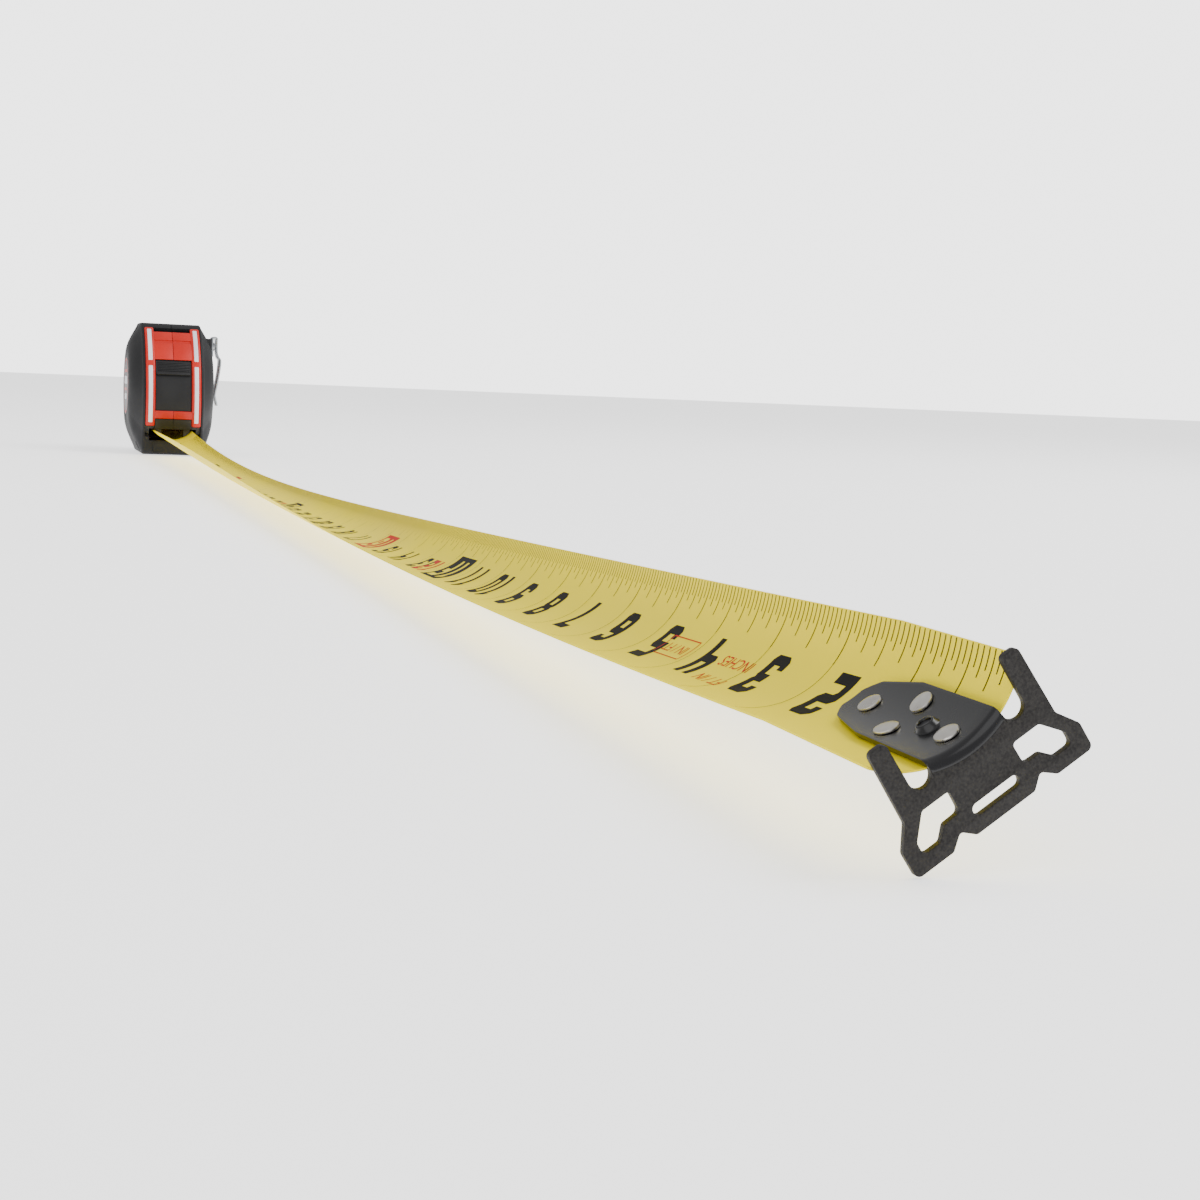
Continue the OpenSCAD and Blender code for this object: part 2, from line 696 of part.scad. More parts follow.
case_left();
case_right();
grip_left();
grip_right();
rail_left();
rail_right();
stripe_left_upper();
stripe_left_lower();
stripe_right_upper();
stripe_right_lower();
bumper();
brake_pad();
lock_spring();
arbor();
washer_left();
washer_right();
case_screw_1();
case_screw_2();
case_screw_3();
case_screw_4();
belt_clip();
clip_screw();
label_left();
label_right();
thumb_lock();
lock_wedge();
reel_drum();
reel_flange();
blade_coil();
power_spring();
blade();
blade_tip();
rivet_1();
rivet_2();
rivet_3();
rivet_4();
hook_plate();
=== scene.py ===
"""Pocket tape measure with its blade drawn out across a pale floor."""
import json
import math

import bmesh
import bpy
from mathutils import Matrix, Vector


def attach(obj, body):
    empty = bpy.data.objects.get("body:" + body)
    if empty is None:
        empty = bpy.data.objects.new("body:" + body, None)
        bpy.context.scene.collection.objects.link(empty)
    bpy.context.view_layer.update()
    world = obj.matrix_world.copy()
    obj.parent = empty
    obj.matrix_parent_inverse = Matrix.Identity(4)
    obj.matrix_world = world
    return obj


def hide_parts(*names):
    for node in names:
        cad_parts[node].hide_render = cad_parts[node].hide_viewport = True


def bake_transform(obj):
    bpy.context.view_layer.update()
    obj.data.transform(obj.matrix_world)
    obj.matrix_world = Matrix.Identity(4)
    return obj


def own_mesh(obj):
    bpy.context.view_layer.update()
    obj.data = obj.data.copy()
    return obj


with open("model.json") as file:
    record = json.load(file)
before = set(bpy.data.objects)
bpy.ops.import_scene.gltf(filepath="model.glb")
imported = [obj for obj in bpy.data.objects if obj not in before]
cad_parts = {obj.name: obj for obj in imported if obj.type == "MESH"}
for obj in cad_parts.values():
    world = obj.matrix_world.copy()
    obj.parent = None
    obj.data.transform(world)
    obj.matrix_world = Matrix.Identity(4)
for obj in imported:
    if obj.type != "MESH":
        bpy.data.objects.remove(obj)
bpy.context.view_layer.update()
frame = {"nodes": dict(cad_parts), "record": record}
nodes = frame["nodes"]
MM = 0.001

# ---------------------------------------------------------------- sizes, mm
FRONT = (-17.0, 36.0)
FRONT_R = 61.0
LIP_X = FRONT[0] + FRONT_R * math.cos(math.radians(19))
REEL_Z = 46.0
BLADE_W, BLADE_R, BLADE_T = 30.2, 17.1, 0.3
BLADE_OUT, TIP_LEN = 1120.0, 35.0
END_X = LIP_X + BLADE_OUT
TIP_X = END_X - TIP_LEN
BEND_X = TIP_X - 30.0
COIL_X, THROAT_X = -4.0, 28.0
MOUTH_Z, ROLL_END = 10.4, 34.6
ROLL_START_RATE, ROLL_END_RATE = -133.5, 7.5
SAG_START_RATE, SAG_END_RATE = -36.0, 40.0
END_Z = 0.95 + 14.3 * math.sin(math.radians(ROLL_END)) + 9.3 * math.cos(math.radians(ROLL_END))
HALF_ANGLE = BLADE_W / 2 / BLADE_R
RAIL_R = FRONT_R + 0.9
WINDOW, RAIL_W = 12.2, 6.4
INCH = 25.4
INCHES_OUT = 43
CASE_H, BACK_X = 90.0, -44.0
DISC_Y = 28.985
CUT_HALF = 15.0


# ---------------------------------------------------------------- materials
def group(name, inputs, outputs):
    """An empty shader node group with named sockets."""
    g = bpy.data.node_groups.new(name, "ShaderNodeTree")
    for label, kind, value in inputs:
        s = g.interface.new_socket(label, in_out="INPUT", socket_type="NodeSocket" + kind)
        if value is not None:
            s.default_value = value
    for label, kind in outputs:
        g.interface.new_socket(label, in_out="OUTPUT", socket_type="NodeSocket" + kind)
    return g, g.nodes.new("NodeGroupInput"), g.nodes.new("NodeGroupOutput")


def mottle_group():
    """Soft drift between two colours, with fine dust over it."""
    g, i, o = group(
        "mottle",
        [("Vector", "Vector", None), ("Light", "Color", None), ("Dark", "Color", None),
         ("Scale", "Float", 60.0), ("Dust Scale", "Float", 900.0), ("Dust", "Float", 0.2)],
        [("Color", "Color"), ("Fac", "Float")])
    drift = g.nodes.new("ShaderNodeTexNoise")
    dust = g.nodes.new("ShaderNodeTexNoise")
    drift.inputs["Detail"].default_value = 4
    dust.inputs["Detail"].default_value = 2
    blend = g.nodes.new("ShaderNodeMix")
    blend.data_type = "FLOAT"
    ramp = g.nodes.new("ShaderNodeMapRange")
    ramp.inputs["From Min"].default_value = 0.35
    ramp.inputs["From Max"].default_value = 0.65
    mix = g.nodes.new("ShaderNodeMix")
    mix.data_type = "RGBA"
    link = g.links.new
    link(i.outputs["Vector"], drift.inputs["Vector"])
    link(i.outputs["Scale"], drift.inputs["Scale"])
    link(i.outputs["Vector"], dust.inputs["Vector"])
    link(i.outputs["Dust Scale"], dust.inputs["Scale"])
    link(i.outputs["Dust"], blend.inputs["Factor"])
    link(drift.outputs["Fac"], blend.inputs["A"])
    link(dust.outputs["Fac"], blend.inputs["B"])
    link(blend.outputs["Result"], ramp.inputs["Value"])
    link(ramp.outputs["Result"], mix.inputs["Factor"])
    link(i.outputs["Dark"], mix.inputs["A"])
    link(i.outputs["Light"], mix.inputs["B"])
    link(mix.outputs["Result"], o.inputs["Color"])
    link(ramp.outputs["Result"], o.inputs["Fac"])
    return g


def grain_group():
    """Height of a moulded, cast or brushed surface."""
    g, i, o = group(
        "grain",
        [("Vector", "Vector", None), ("Scale", "Float", 1500.0), ("Broad Scale", "Float", 200.0),
         ("Broad", "Float", 0.3)],
        [("Height", "Float")])
    fine = g.nodes.new("ShaderNodeTexNoise")
    broad = g.nodes.new("ShaderNodeTexNoise")
    mix = g.nodes.new("ShaderNodeMix")
    mix.data_type = "FLOAT"
    link = g.links.new
    link(i.outputs["Vector"], fine.inputs["Vector"])
    link(i.outputs["Scale"], fine.inputs["Scale"])
    link(i.outputs["Vector"], broad.inputs["Vector"])
    link(i.outputs["Broad Scale"], broad.inputs["Scale"])
    link(i.outputs["Broad"], mix.inputs["Factor"])
    link(fine.outputs["Fac"], mix.inputs["A"])
    link(broad.outputs["Fac"], mix.inputs["B"])
    link(mix.outputs["Result"], o.inputs["Height"])
    return g


MOTTLE, GRAIN = mottle_group(), grain_group()


def surface(name, light, dark, rough=(0.4, 0.5), metallic=0.0, stretch=(1, 1, 1), scale=60, dust_scale=900,
            dust=0.2, grain=1500, broad=200, relief=0.1, depth=0.00005, coat=0.0, coat_rough=0.05, specular=0.5):
    """A finish of two close colours with its own roughness range and relief."""
    m = bpy.data.materials.new(name)
    m.use_nodes = True
    t = m.node_tree
    bsdf = t.nodes["Principled BSDF"]
    where = t.nodes.new("ShaderNodeTexCoord")
    turn = t.nodes.new("ShaderNodeMapping")
    turn.inputs["Scale"].default_value = stretch
    mottle = t.nodes.new("ShaderNodeGroup")
    mottle.node_tree = MOTTLE
    mottle.inputs["Light"].default_value = (*light, 1)
    mottle.inputs["Dark"].default_value = (*dark, 1)
    mottle.inputs["Scale"].default_value = scale
    mottle.inputs["Dust Scale"].default_value = dust_scale
    mottle.inputs["Dust"].default_value = dust
    height = t.nodes.new("ShaderNodeGroup")
    height.node_tree = GRAIN
    height.inputs["Scale"].default_value = grain
    height.inputs["Broad Scale"].default_value = broad
    spread = t.nodes.new("ShaderNodeMapRange")
    spread.inputs["To Min"].default_value = rough[0]
    spread.inputs["To Max"].default_value = rough[1]
    bump = t.nodes.new("ShaderNodeBump")
    bump.inputs["Strength"].default_value = relief
    bump.inputs["Distance"].default_value = depth
    link = t.links.new
    link(where.outputs["Object"], turn.inputs["Vector"])
    link(turn.outputs["Vector"], mottle.inputs["Vector"])
    link(turn.outputs["Vector"], height.inputs["Vector"])
    link(mottle.outputs["Color"], bsdf.inputs["Base Color"])
    link(mottle.outputs["Fac"], spread.inputs["Value"])
    link(spread.outputs["Result"], bsdf.inputs["Roughness"])
    link(height.outputs["Height"], bump.inputs["Height"])
    link(bump.outputs["Normal"], bsdf.inputs["Normal"])
    bsdf.inputs["Metallic"].default_value = metallic
    bsdf.inputs["Coat Weight"].default_value = coat
    bsdf.inputs["Coat Roughness"].default_value = coat_rough
    bsdf.inputs["Specular IOR Level"].default_value = specular
    return m


RUBBER = surface("grip_rubber", (0.007, 0.007, 0.008), (0.004, 0.004, 0.005), (0.5, 0.66), relief=0.5,
                 grain=1800, broad=500, depth=0.00012, specular=0.32)
SHELL = surface("shell_plastic", (0.022, 0.022, 0.024), (0.013, 0.013, 0.014), (0.4, 0.52), relief=0.3, grain=2500,
                specular=0.35)
LOCK = surface("lock_plastic", (0.009, 0.009, 0.010), (0.005, 0.005, 0.006), (0.4, 0.52), relief=0.2, grain=2500,
               specular=0.35)
RED = surface("red_plastic", (0.56, 0.016, 0.007), (0.47, 0.012, 0.006), (0.3, 0.42), relief=0.05, specular=0.3)
SILVER = surface("stripe_silver", (0.84, 0.84, 0.88), (0.74, 0.74, 0.79), (0.2, 0.32), relief=0.05, coat=0.3)
ENAMEL = surface("blade_enamel", (0.97, 0.80, 0.0), (0.94, 0.765, 0.0), (0.4, 0.5), scale=14, dust=0.1,
                 relief=0.03, specular=0.08)
BLACK_INK = surface("black_ink", (0.008, 0.008, 0.007), (0.004, 0.004, 0.003), (0.5, 0.6), relief=0.03,
                    specular=0.08)
RED_INK = surface("red_ink", (0.60, 0.030, 0.008), (0.52, 0.022, 0.006), (0.5, 0.6), relief=0.03,
                  specular=0.08)
PALE_INK = surface("pale_ink", (0.8, 0.8, 0.82), (0.68, 0.68, 0.7), (0.35, 0.45), relief=0.03)
POWDER = surface("hook_powder_coat", (0.026, 0.024, 0.022), (0.006, 0.005, 0.005), (0.46, 0.62), dust=0.8,
                 dust_scale=2600, relief=0.5, grain=3200, depth=0.00006, specular=0.22)
BLACKENED = surface("hook_gloss", (0.005, 0.005, 0.006), (0.003, 0.003, 0.004), (0.16, 0.28), relief=0.12,
                    grain=2200, specular=0.42)
NICKEL = surface("rivet_nickel", (0.60, 0.58, 0.54), (0.44, 0.42, 0.39), (0.24, 0.36), 1.0, scale=300, relief=0.1)
STEEL = surface("clip_steel", (0.42, 0.44, 0.46), (0.30, 0.32, 0.34), (0.24, 0.4), 1.0, (6, 1, 0.3), relief=0.15)
SPRING = surface("spring_steel", (0.46, 0.47, 0.49), (0.36, 0.37, 0.39), (0.25, 0.4), 1.0, (1, 0.2, 1), relief=0.1)
PLATED = surface("plated_steel", (0.50, 0.51, 0.53), (0.38, 0.39, 0.41), (0.3, 0.45), 1.0, scale=200, relief=0.1)
NYLON = surface("washer_nylon", (0.72, 0.70, 0.64), (0.64, 0.62, 0.56), (0.4, 0.5), relief=0.1)
FELT = surface("brake_felt", (0.10, 0.06, 0.045), (0.05, 0.03, 0.022), (0.85, 0.98), relief=0.9, grain=900,
               depth=0.0003)
REEL = surface("reel_plastic", (0.05, 0.052, 0.056), (0.035, 0.036, 0.04), (0.4, 0.52), relief=0.2)
WEDGE = surface("wedge_plastic", (0.06, 0.06, 0.064), (0.04, 0.04, 0.044), (0.4, 0.52), relief=0.2)
LABEL = surface("label_disc", (0.016, 0.016, 0.018), (0.010, 0.010, 0.011), (0.3, 0.42), relief=0.15, grain=2500)
FLOOR = surface("floor_sweep", (0.93, 0.93, 0.935), (0.915, 0.915, 0.92), (0.6, 0.7), scale=1.2, relief=0.0)
floor_inputs = FLOOR.node_tree.nodes["Principled BSDF"].inputs
floor_inputs["Emission Color"].default_value = (1, 1, 1, 1)
floor_inputs["Emission Strength"].default_value = 1.2

BY_SLOT = {
    "shell": SHELL, "rubber": RUBBER, "red_plastic": RED, "white_plastic": SILVER, "felt": FELT,
    "spring_steel": SPRING, "clip_steel": STEEL, "nylon": NYLON, "plated_steel": PLATED, "label_left": LABEL,
    "label_right": LABEL, "lock_plastic": LOCK, "wedge_plastic": WEDGE, "reel_plastic": REEL,
    "blade_enamel": ENAMEL, "rivet_nickel": NICKEL, "hook_black": POWDER,
}
for part in frame["record"]["subparts"]:
    mesh = nodes[part["node"]].data
    mesh.materials.clear()
    mesh.materials.append(BY_SLOT[part["material_slot"]])


# ---------------------------------------------------------------- making pieces
def piece(name, mesh, material, body, replaces=(), smooth=40):
    """Puts a finished mesh in the scene on its body."""
    mesh.name = name
    for m in material if isinstance(material, (list, tuple)) else [material]:
        mesh.materials.append(m)
    obj = linked(bpy.data.objects.new(name, mesh))
    if smooth:
        mesh.shade_smooth()
        mesh.set_sharp_from_angle(angle=math.radians(smooth))
    if body:
        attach(obj, body)
    if replaces:
        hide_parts(*replaces)
    return obj


def mesh_of(points, faces):
    """A mesh from points in millimetres, its faces turned outwards."""
    mesh = bpy.data.meshes.new("made")
    mesh.from_pydata([Vector(p) * MM for p in points], [], faces)
    bm = bmesh.new()
    bm.from_mesh(mesh)
    bmesh.ops.recalc_face_normals(bm, faces=bm.faces)
    bm.to_mesh(mesh)
    bm.free()
    mesh.validate()
    return mesh


def joined(*meshes):
    """One mesh holding all of them."""
    bm = bmesh.new()
    for m in meshes:
        bm.from_mesh(m)
    out = bpy.data.meshes.new("made")
    bm.to_mesh(out)
    bm.free()
    return out


def linked(obj):
    """The object, once it is in the scene."""
    bpy.context.collection.objects.link(obj)
    return obj


def plain_mesh(obj):
    """The object's evaluated shape as a plain mesh, in place of the object."""
    bpy.context.view_layer.update()
    out = bpy.data.meshes.new_from_object(obj.evaluated_get(bpy.context.evaluated_depsgraph_get()))
    bpy.data.objects.remove(obj)
    return out


def applied(mesh, *settings):
    """The mesh after modifiers, each given as (type, values)."""
    obj = linked(bpy.data.objects.new("worked", mesh))
    for kind, values in settings:
        m = obj.modifiers.new(kind, kind)
        for key, value in values.items():
            setattr(m, key, value)
    return plain_mesh(obj)


def bevelled(mesh, width, segments=3, angle=35):
    return applied(mesh, ("BEVEL", {"width": width * MM, "segments": segments, "limit_method": "ANGLE",
                                    "angle_limit": math.radians(angle), "use_clamp_overlap": True}))


def cut(mesh, *tools):
    """The mesh less each tool."""
    for tool in tools:
        t = linked(bpy.data.objects.new("tool", tool))
        mesh = applied(mesh, ("BOOLEAN", {"operation": "DIFFERENCE", "solver": "EXACT", "object": t}))
        bpy.data.objects.remove(t)
    return mesh


def skin(rows, m, ring=False):
    """Quads between rows of m points, each row a closed ring; ring also closes the last row to the first."""
    return [(k * m + j, k * m + (j + 1) % m, (k + 1) % rows * m + (j + 1) % m, (k + 1) % rows * m + j)
            for k in range(rows if ring else rows - 1) for j in range(m)]


def strip_ends(rows, n):
    """Quads that close both ends of a strip whose rows run out over n steps and back."""
    m = 2 * (n + 1)
    return [(end * m + j, end * m + j + 1, end * m + m - 2 - j, end * m + m - 1 - j)
            for end in (0, rows - 1) for j in range(n)]


def block(x0, x1, y0, y1, z0, z1):
    p = [(x, y, z) for x in (x0, x1) for y in (y0, y1) for z in (z0, z1)]
    return mesh_of(p, [(0, 1, 3, 2), (4, 6, 7, 5), (0, 4, 5, 1), (2, 3, 7, 6), (0, 2, 6, 4), (1, 5, 7, 3)])


def arc(cx, cz, r, a0, a1, n):
    return [(cx + r * math.cos(math.radians(a0 + (a1 - a0) * i / n)),
             cz + r * math.sin(math.radians(a0 + (a1 - a0) * i / n))) for i in range(n + 1)]


def prism(outline, y0, y1):
    """A side outline of (x, z) between two values of y."""
    n = len(outline)
    p = [(x, y0, z) for x, z in outline] + [(x, y1, z) for x, z in outline]
    walls = [(i, (i + 1) % n, n + (i + 1) % n, n + i) for i in range(n)]
    return mesh_of(p, walls + [tuple(range(n)), tuple(range(2 * n - 1, n - 1, -1))])


def band(r0, r1, a0, a1, y0, y1, n=24):
    """A piece of ring about the centre of the case's front curve."""
    return prism(arc(*FRONT, r0, a0, a1, n) + arc(*FRONT, r1, a1, a0, n), y0, y1)


def lathe(profile, n=48):
    """A closed shape turned about Z from (radius, height) pairs that start and end on the axis."""
    p, faces = [], []
    for r, z in profile[1:-1]:
        p += [(r * math.cos(2 * math.pi * i / n), r * math.sin(2 * math.pi * i / n), z) for i in range(n)]
    rows = len(profile) - 2
    for k in range(rows - 1):
        faces += [(k * n + i, k * n + (i + 1) % n, (k + 1) * n + (i + 1) % n, (k + 1) * n + i)
                  for i in range(n)]
    p += [(0, 0, profile[0][1]), (0, 0, profile[-1][1])]
    faces += [(rows * n, (i + 1) % n, i) for i in range(n)]
    faces += [(rows * n + 1, (rows - 1) * n + i, (rows - 1) * n + (i + 1) % n) for i in range(n)]
    return mesh_of(p, faces)


def moved(mesh, matrix):
    mesh.transform(matrix)
    return mesh


def shift(x, y, z):
    return Matrix.Translation(Vector((x, y, z)) * MM)


def set_out(mesh, places, material):
    """Copies of one mesh at (place, turn) pairs, made by Geometry Nodes and returned as a plain mesh."""
    carrier = bpy.data.meshes.new("places")
    carrier.from_pydata([Vector(p) * MM for p, _ in places], [], [])
    turns = carrier.attributes.new("turn", "FLOAT_VECTOR", "POINT")
    for k, (_, turn) in enumerate(places):
        turns.data[k].vector = turn
    source = linked(bpy.data.objects.new("source", mesh))
    obj = linked(bpy.data.objects.new("set", carrier))
    t = bpy.data.node_groups.new("set_out", "GeometryNodeTree")
    t.interface.new_socket("Geometry", in_out="INPUT", socket_type="NodeSocketGeometry")
    which = t.interface.new_socket("Part", in_out="INPUT", socket_type="NodeSocketObject")
    coat = t.interface.new_socket("Finish", in_out="INPUT", socket_type="NodeSocketMaterial")
    t.interface.new_socket("Geometry", in_out="OUTPUT", socket_type="NodeSocketGeometry")
    add, link = t.nodes.new, t.links.new
    i, o = add("NodeGroupInput"), add("NodeGroupOutput")
    part, copies = add("GeometryNodeObjectInfo"), add("GeometryNodeInstanceOnPoints")
    turn, real, finish = (add("GeometryNodeInputNamedAttribute"), add("GeometryNodeRealizeInstances"),
                          add("GeometryNodeSetMaterial"))
    turn.data_type = "FLOAT_VECTOR"
    turn.inputs["Name"].default_value = "turn"
    link(i.outputs["Geometry"], copies.inputs["Points"])
    link(i.outputs["Part"], part.inputs["Object"])
    link(part.outputs["Geometry"], copies.inputs["Instance"])
    link(turn.outputs["Attribute"], copies.inputs["Rotation"])
    link(copies.outputs["Instances"], real.inputs["Geometry"])
    link(real.outputs["Geometry"], finish.inputs["Geometry"])
    link(i.outputs["Finish"], finish.inputs["Material"])
    link(finish.outputs["Geometry"], o.inputs["Geometry"])
    m = obj.modifiers.new("set_out", "NODES")
    m.node_group = t
    m[which.identifier] = source
    m[coat.identifier] = material
    out = plain_mesh(obj)
    bpy.data.objects.remove(source)
    out.materials.clear()
    return out


# ---------------------------------------------------------------- the blade's shape
def ease(t):
    t = max(0.0, min(1.0, t))
    return t * t * (3 - 2 * t)


def hermite(p0, m0, p1, m1, s):
    return (p0 * (2 * s**3 - 3 * s**2 + 1) + m0 * (s**3 - 2 * s**2 + s)
            + p1 * (3 * s**2 - 2 * s**3) + m1 * (s**3 - s**2))


def blade_frame(x):
    """Lowest line's height, roll and the section's radius at x."""
    if x >= TIP_X:
        return END_Z, math.radians(ROLL_END), BLADE_R
    if x >= LIP_X:
        s = (x - LIP_X) / (TIP_X - LIP_X)
        return (hermite(MOUTH_Z, SAG_START_RATE, END_Z, SAG_END_RATE, s),
                math.radians(hermite(0, ROLL_START_RATE, ROLL_END, ROLL_END_RATE, s)), BLADE_R)
    a = math.radians(2 + (math.degrees(HALF_ANGLE) - 2) * ease((x - COIL_X) / (THROAT_X - COIL_X)))
    r = BLADE_W / 2 / a
    return MOUTH_Z + BLADE_R * (1 - math.cos(HALF_ANGLE)) - r * (1 - math.cos(a)), 0.0, r


def on_blade(x, v, up):
    """Point at x, v across the width from the middle (+Y side positive), up above the outer face."""
    z, roll, r = blade_frame(x)
    y, h = (r - up) * math.sin(v / r), r - (r - up) * math.cos(v / r)
    return (x, y * math.cos(roll) - h * math.sin(roll), z + y * math.sin(roll) + h * math.cos(roll))


def blade_sheet(xs, n=40):
    """The strip along xs, closed all round."""
    vs = [BLADE_W / 2 * (2 * j / n - 1) for j in range(n + 1)]
    row = [(v, BLADE_T) for v in vs] + [(v, 0) for v in reversed(vs)]
    p = [on_blade(x, v, up) for x in xs for v, up in row]
    return mesh_of(p, skin(len(xs), len(row)) + strip_ends(len(xs), n))


def steps(a, b, n):
    return [a + (b - a) * i / n for i in range(n + 1)]


ZONES = [("run", COIL_X, BEND_X), ("bend", BEND_X, TIP_X), ("tip", TIP_X, END_X)]


def follow(obj, zone):
    """Ties a piece of the drawn blade to a body: the run stays on the case, the tip rides on the blade's end, the
    bend is tied to neither.
    """
    if zone == "tip":
        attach(obj, "blade_end")
    elif zone == "bend":
        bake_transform(obj)
    else:
        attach(obj, "case")
        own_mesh(obj)


for zone, x0, x1 in ZONES:
    count = {"run": 230, "bend": 8, "tip": 8}[zone]
    stands_for = {"run": ["blade"], "bend": [], "tip": ["blade_tip"]}[zone]
    strip = piece("blade_" + ("outer" if zone == "run" else zone + "_strip"), blade_sheet(steps(x0, x1, count)),
                  ENAMEL, None, stands_for)
    follow(strip, zone)


# ---------------------------------------------------------------- printed scale
def tick_field():
    """Flat marks every sixteenth of an inch by Geometry Nodes: X along the scale, Y inwards from the edge."""
    t = bpy.data.node_groups.new("scale_marks", "GeometryNodeTree")
    sizes = {"Count": ("Int", 16 * INCHES_OUT), "Pitch": ("Float", INCH / 16), "Width": ("Float", 0.28),
             "Sixteenth": ("Float", 3.4), "Eighth": ("Float", 1.3), "Quarter": ("Float", 1.5),
             "Half": ("Float", 1.6), "Inch": ("Float", 1.6)}
    t.interface.new_socket("Geometry", in_out="INPUT", socket_type="NodeSocketGeometry")
    ids = {}
    for key, (kind, _) in sizes.items():
        ids[key] = t.interface.new_socket(key, in_out="INPUT", socket_type="NodeSocket" + kind).identifier
    ids["Finish"] = t.interface.new_socket("Finish", in_out="INPUT", socket_type="NodeSocketMaterial").identifier
    t.interface.new_socket("Geometry", in_out="OUTPUT", socket_type="NodeSocketGeometry")
    add, link = t.nodes.new, t.links.new
    i, o = add("NodeGroupInput"), add("NodeGroupOutput")

    def math_node(op, a, b):
        n = add("ShaderNodeMath")
        n.operation = op
        for k, v in enumerate((a, b)):
            if isinstance(v, (int, float)):
                n.inputs[k].default_value = v
            else:
                link(v, n.inputs[k])
        return n.outputs[0]

    index = add("GeometryNodeInputIndex").outputs[0]
    number = math_node("ADD", index, 1)
    length = i.outputs["Sixteenth"]
    for key, step in (("Eighth", 2), ("Quarter", 4), ("Half", 8), ("Inch", 16)):
        whole = math_node("LESS_THAN", math_node("MODULO", number, step), 0.5)
        length = math_node("ADD", length, math_node("MULTIPLY", whole, i.outputs[key]))
    line, offset = add("GeometryNodeMeshLine"), add("ShaderNodeCombineXYZ")
    start, scale = add("ShaderNodeCombineXYZ"), add("ShaderNodeCombineXYZ")
    grid, drop = add("GeometryNodeMeshGrid"), add("GeometryNodeTransform")
    copies, real, finish = (add("GeometryNodeInstanceOnPoints"), add("GeometryNodeRealizeInstances"),
                            add("GeometryNodeSetMaterial"))
    grid.inputs["Vertices X"].default_value = 2
    grid.inputs["Vertices Y"].default_value = 9
    drop.inputs["Translation"].default_value = (0, 0.5, 0)
    link(i.outputs["Pitch"], offset.inputs["X"])
    link(i.outputs["Pitch"], start.inputs["X"])
    link(i.outputs["Count"], line.inputs["Count"])
    link(start.outputs[0], line.inputs["Start Location"])
    link(offset.outputs[0], line.inputs["Offset"])
    link(i.outputs["Width"], scale.inputs["X"])
    link(length, scale.inputs["Y"])
    link(grid.outputs["Mesh"], drop.inputs["Geometry"])
    link(line.outputs["Mesh"], copies.inputs["Points"])
    link(drop.outputs["Geometry"], copies.inputs["Instance"])
    link(scale.outputs[0], copies.inputs["Scale"])
    link(copies.outputs["Instances"], real.inputs["Geometry"])
    link(real.outputs["Geometry"], finish.inputs["Geometry"])
    link(i.outputs["Finish"], finish.inputs["Material"])
    link(finish.outputs["Geometry"], o.inputs["Geometry"])
    obj = linked(bpy.data.objects.new("field", bpy.data.meshes.new("field")))
    m = obj.modifiers.new("marks", "NODES")
    m.node_group = t
    for key, (_, value) in sizes.items():
        m[ids[key]] = value
    m[ids["Finish"]] = BLACK_INK
    out = plain_mesh(obj)
    out.materials.clear()
    return out


# Space between digits as a share of their width, and the rim of a filled box round them
DIGIT_GAP, BOX_RIM = 0.18, 1.6
# Outlines of the block digits; an inner outline is a hole
DIGITS = {
    "0": ["10 50 61 69 5A 1A 09 01", "22 42 48 28"],
    "1": ["20 40 4A 2.6A 18.6 17.2 27.7"],
    "2": ["00 60 62 22 23.4 2.64 54 65 69 5A 1A 09 07 27 28 48 46 16 05"],
    "3": ["01 10 50 61 64.4 5.55 65.6 69 5A 1A 09 07.2 27.2 28 48 46 1.86 1.84 44 42 22 22.8 02.8"],
    "4": ["40 60 6A 4A 45.6 25.6 2A 0A 04.6 13.6 43.6"],
    "5": ["01 10 50 61 65 56 26 28 68 6A 0A 04 44 42 22 23 03"],
    "6": ["10 50 61 65 56 26 28 48 47.2 67.2 69 5A 1A 09 01", "22 42 44 24"],
    "7": ["1.60 3.60 67.4 6A 0A 08 48 47.2"],
    "8": ["10 50 61 64.4 5.55 65.6 69 5A 1A 09 05.6 0.65 04.4 01", "22 42 44.1 24.1", "25.9 45.9 48 28"],
    "9": ["5A 1A 09 05 14 44 42 22 22.8 02.8 01 10 50 61 69", "48 28 26 46"],
    "F": ["00 20 24 54 56 26 28 68 6A 0A"],
}


def digit_points(text):
    """Corner list of one outline: each entry is x then z, A for ten, on a grid six wide and ten tall."""
    out = []
    for word in text.split():
        cut_at = 3 if len(word) > 2 and word[1] == "." else 1
        tall = word[cut_at:]
        out.append((float(word[:cut_at]), 10.0 if tall == "A" else float(tall)))
    return out


def flat_mesh(outlines, **settings):
    """Filled flat shapes from closed outlines; an outline inside another is a hole."""
    c = bpy.data.curves.new("flat", "CURVE")
    c.dimensions, c.fill_mode = "2D", "BOTH"
    for key, value in settings.items():
        setattr(c, key, value)
    for pts in outlines:
        s = c.splines.new("POLY")
        s.points.add(len(pts) - 1)
        for q, (x, y) in zip(s.points, pts):
            q.co = (x, y, 0, 1)
        s.use_cyclic_u = True
    return plain_mesh(linked(bpy.data.objects.new("flat", c)))


def digit_outlines(word, s0, v0, wide, tall):
    """Block digits from s0 along the scale, their feet at v0 and their tops towards the near edge."""
    return [[(s0 + (k * (1 + DIGIT_GAP) + x / 6) * wide, v0 - z / 10 * tall) for x, z in digit_points(line)]
            for k, ch in enumerate(word) for line in DIGITS[ch]]


def lettering(word, *place):
    """A word in block digits."""
    return flat_mesh(digit_outlines(word, *place))


def boxed(word, s0, v0, wide, tall):
    """Block digits left clear in a filled box."""
    length = (len(word) * (1 + DIGIT_GAP) - DIGIT_GAP) * wide
    box = rectangle(s0 - BOX_RIM, s0 + length + BOX_RIM, v0 - tall - BOX_RIM, v0 + BOX_RIM)
    return flat_mesh([box] + digit_outlines(word, s0, v0, wide, tall))


def rectangle(s0, s1, v0, v1):
    return [(s0, v0), (s1, v0), (s1, v1), (s0, v1)]


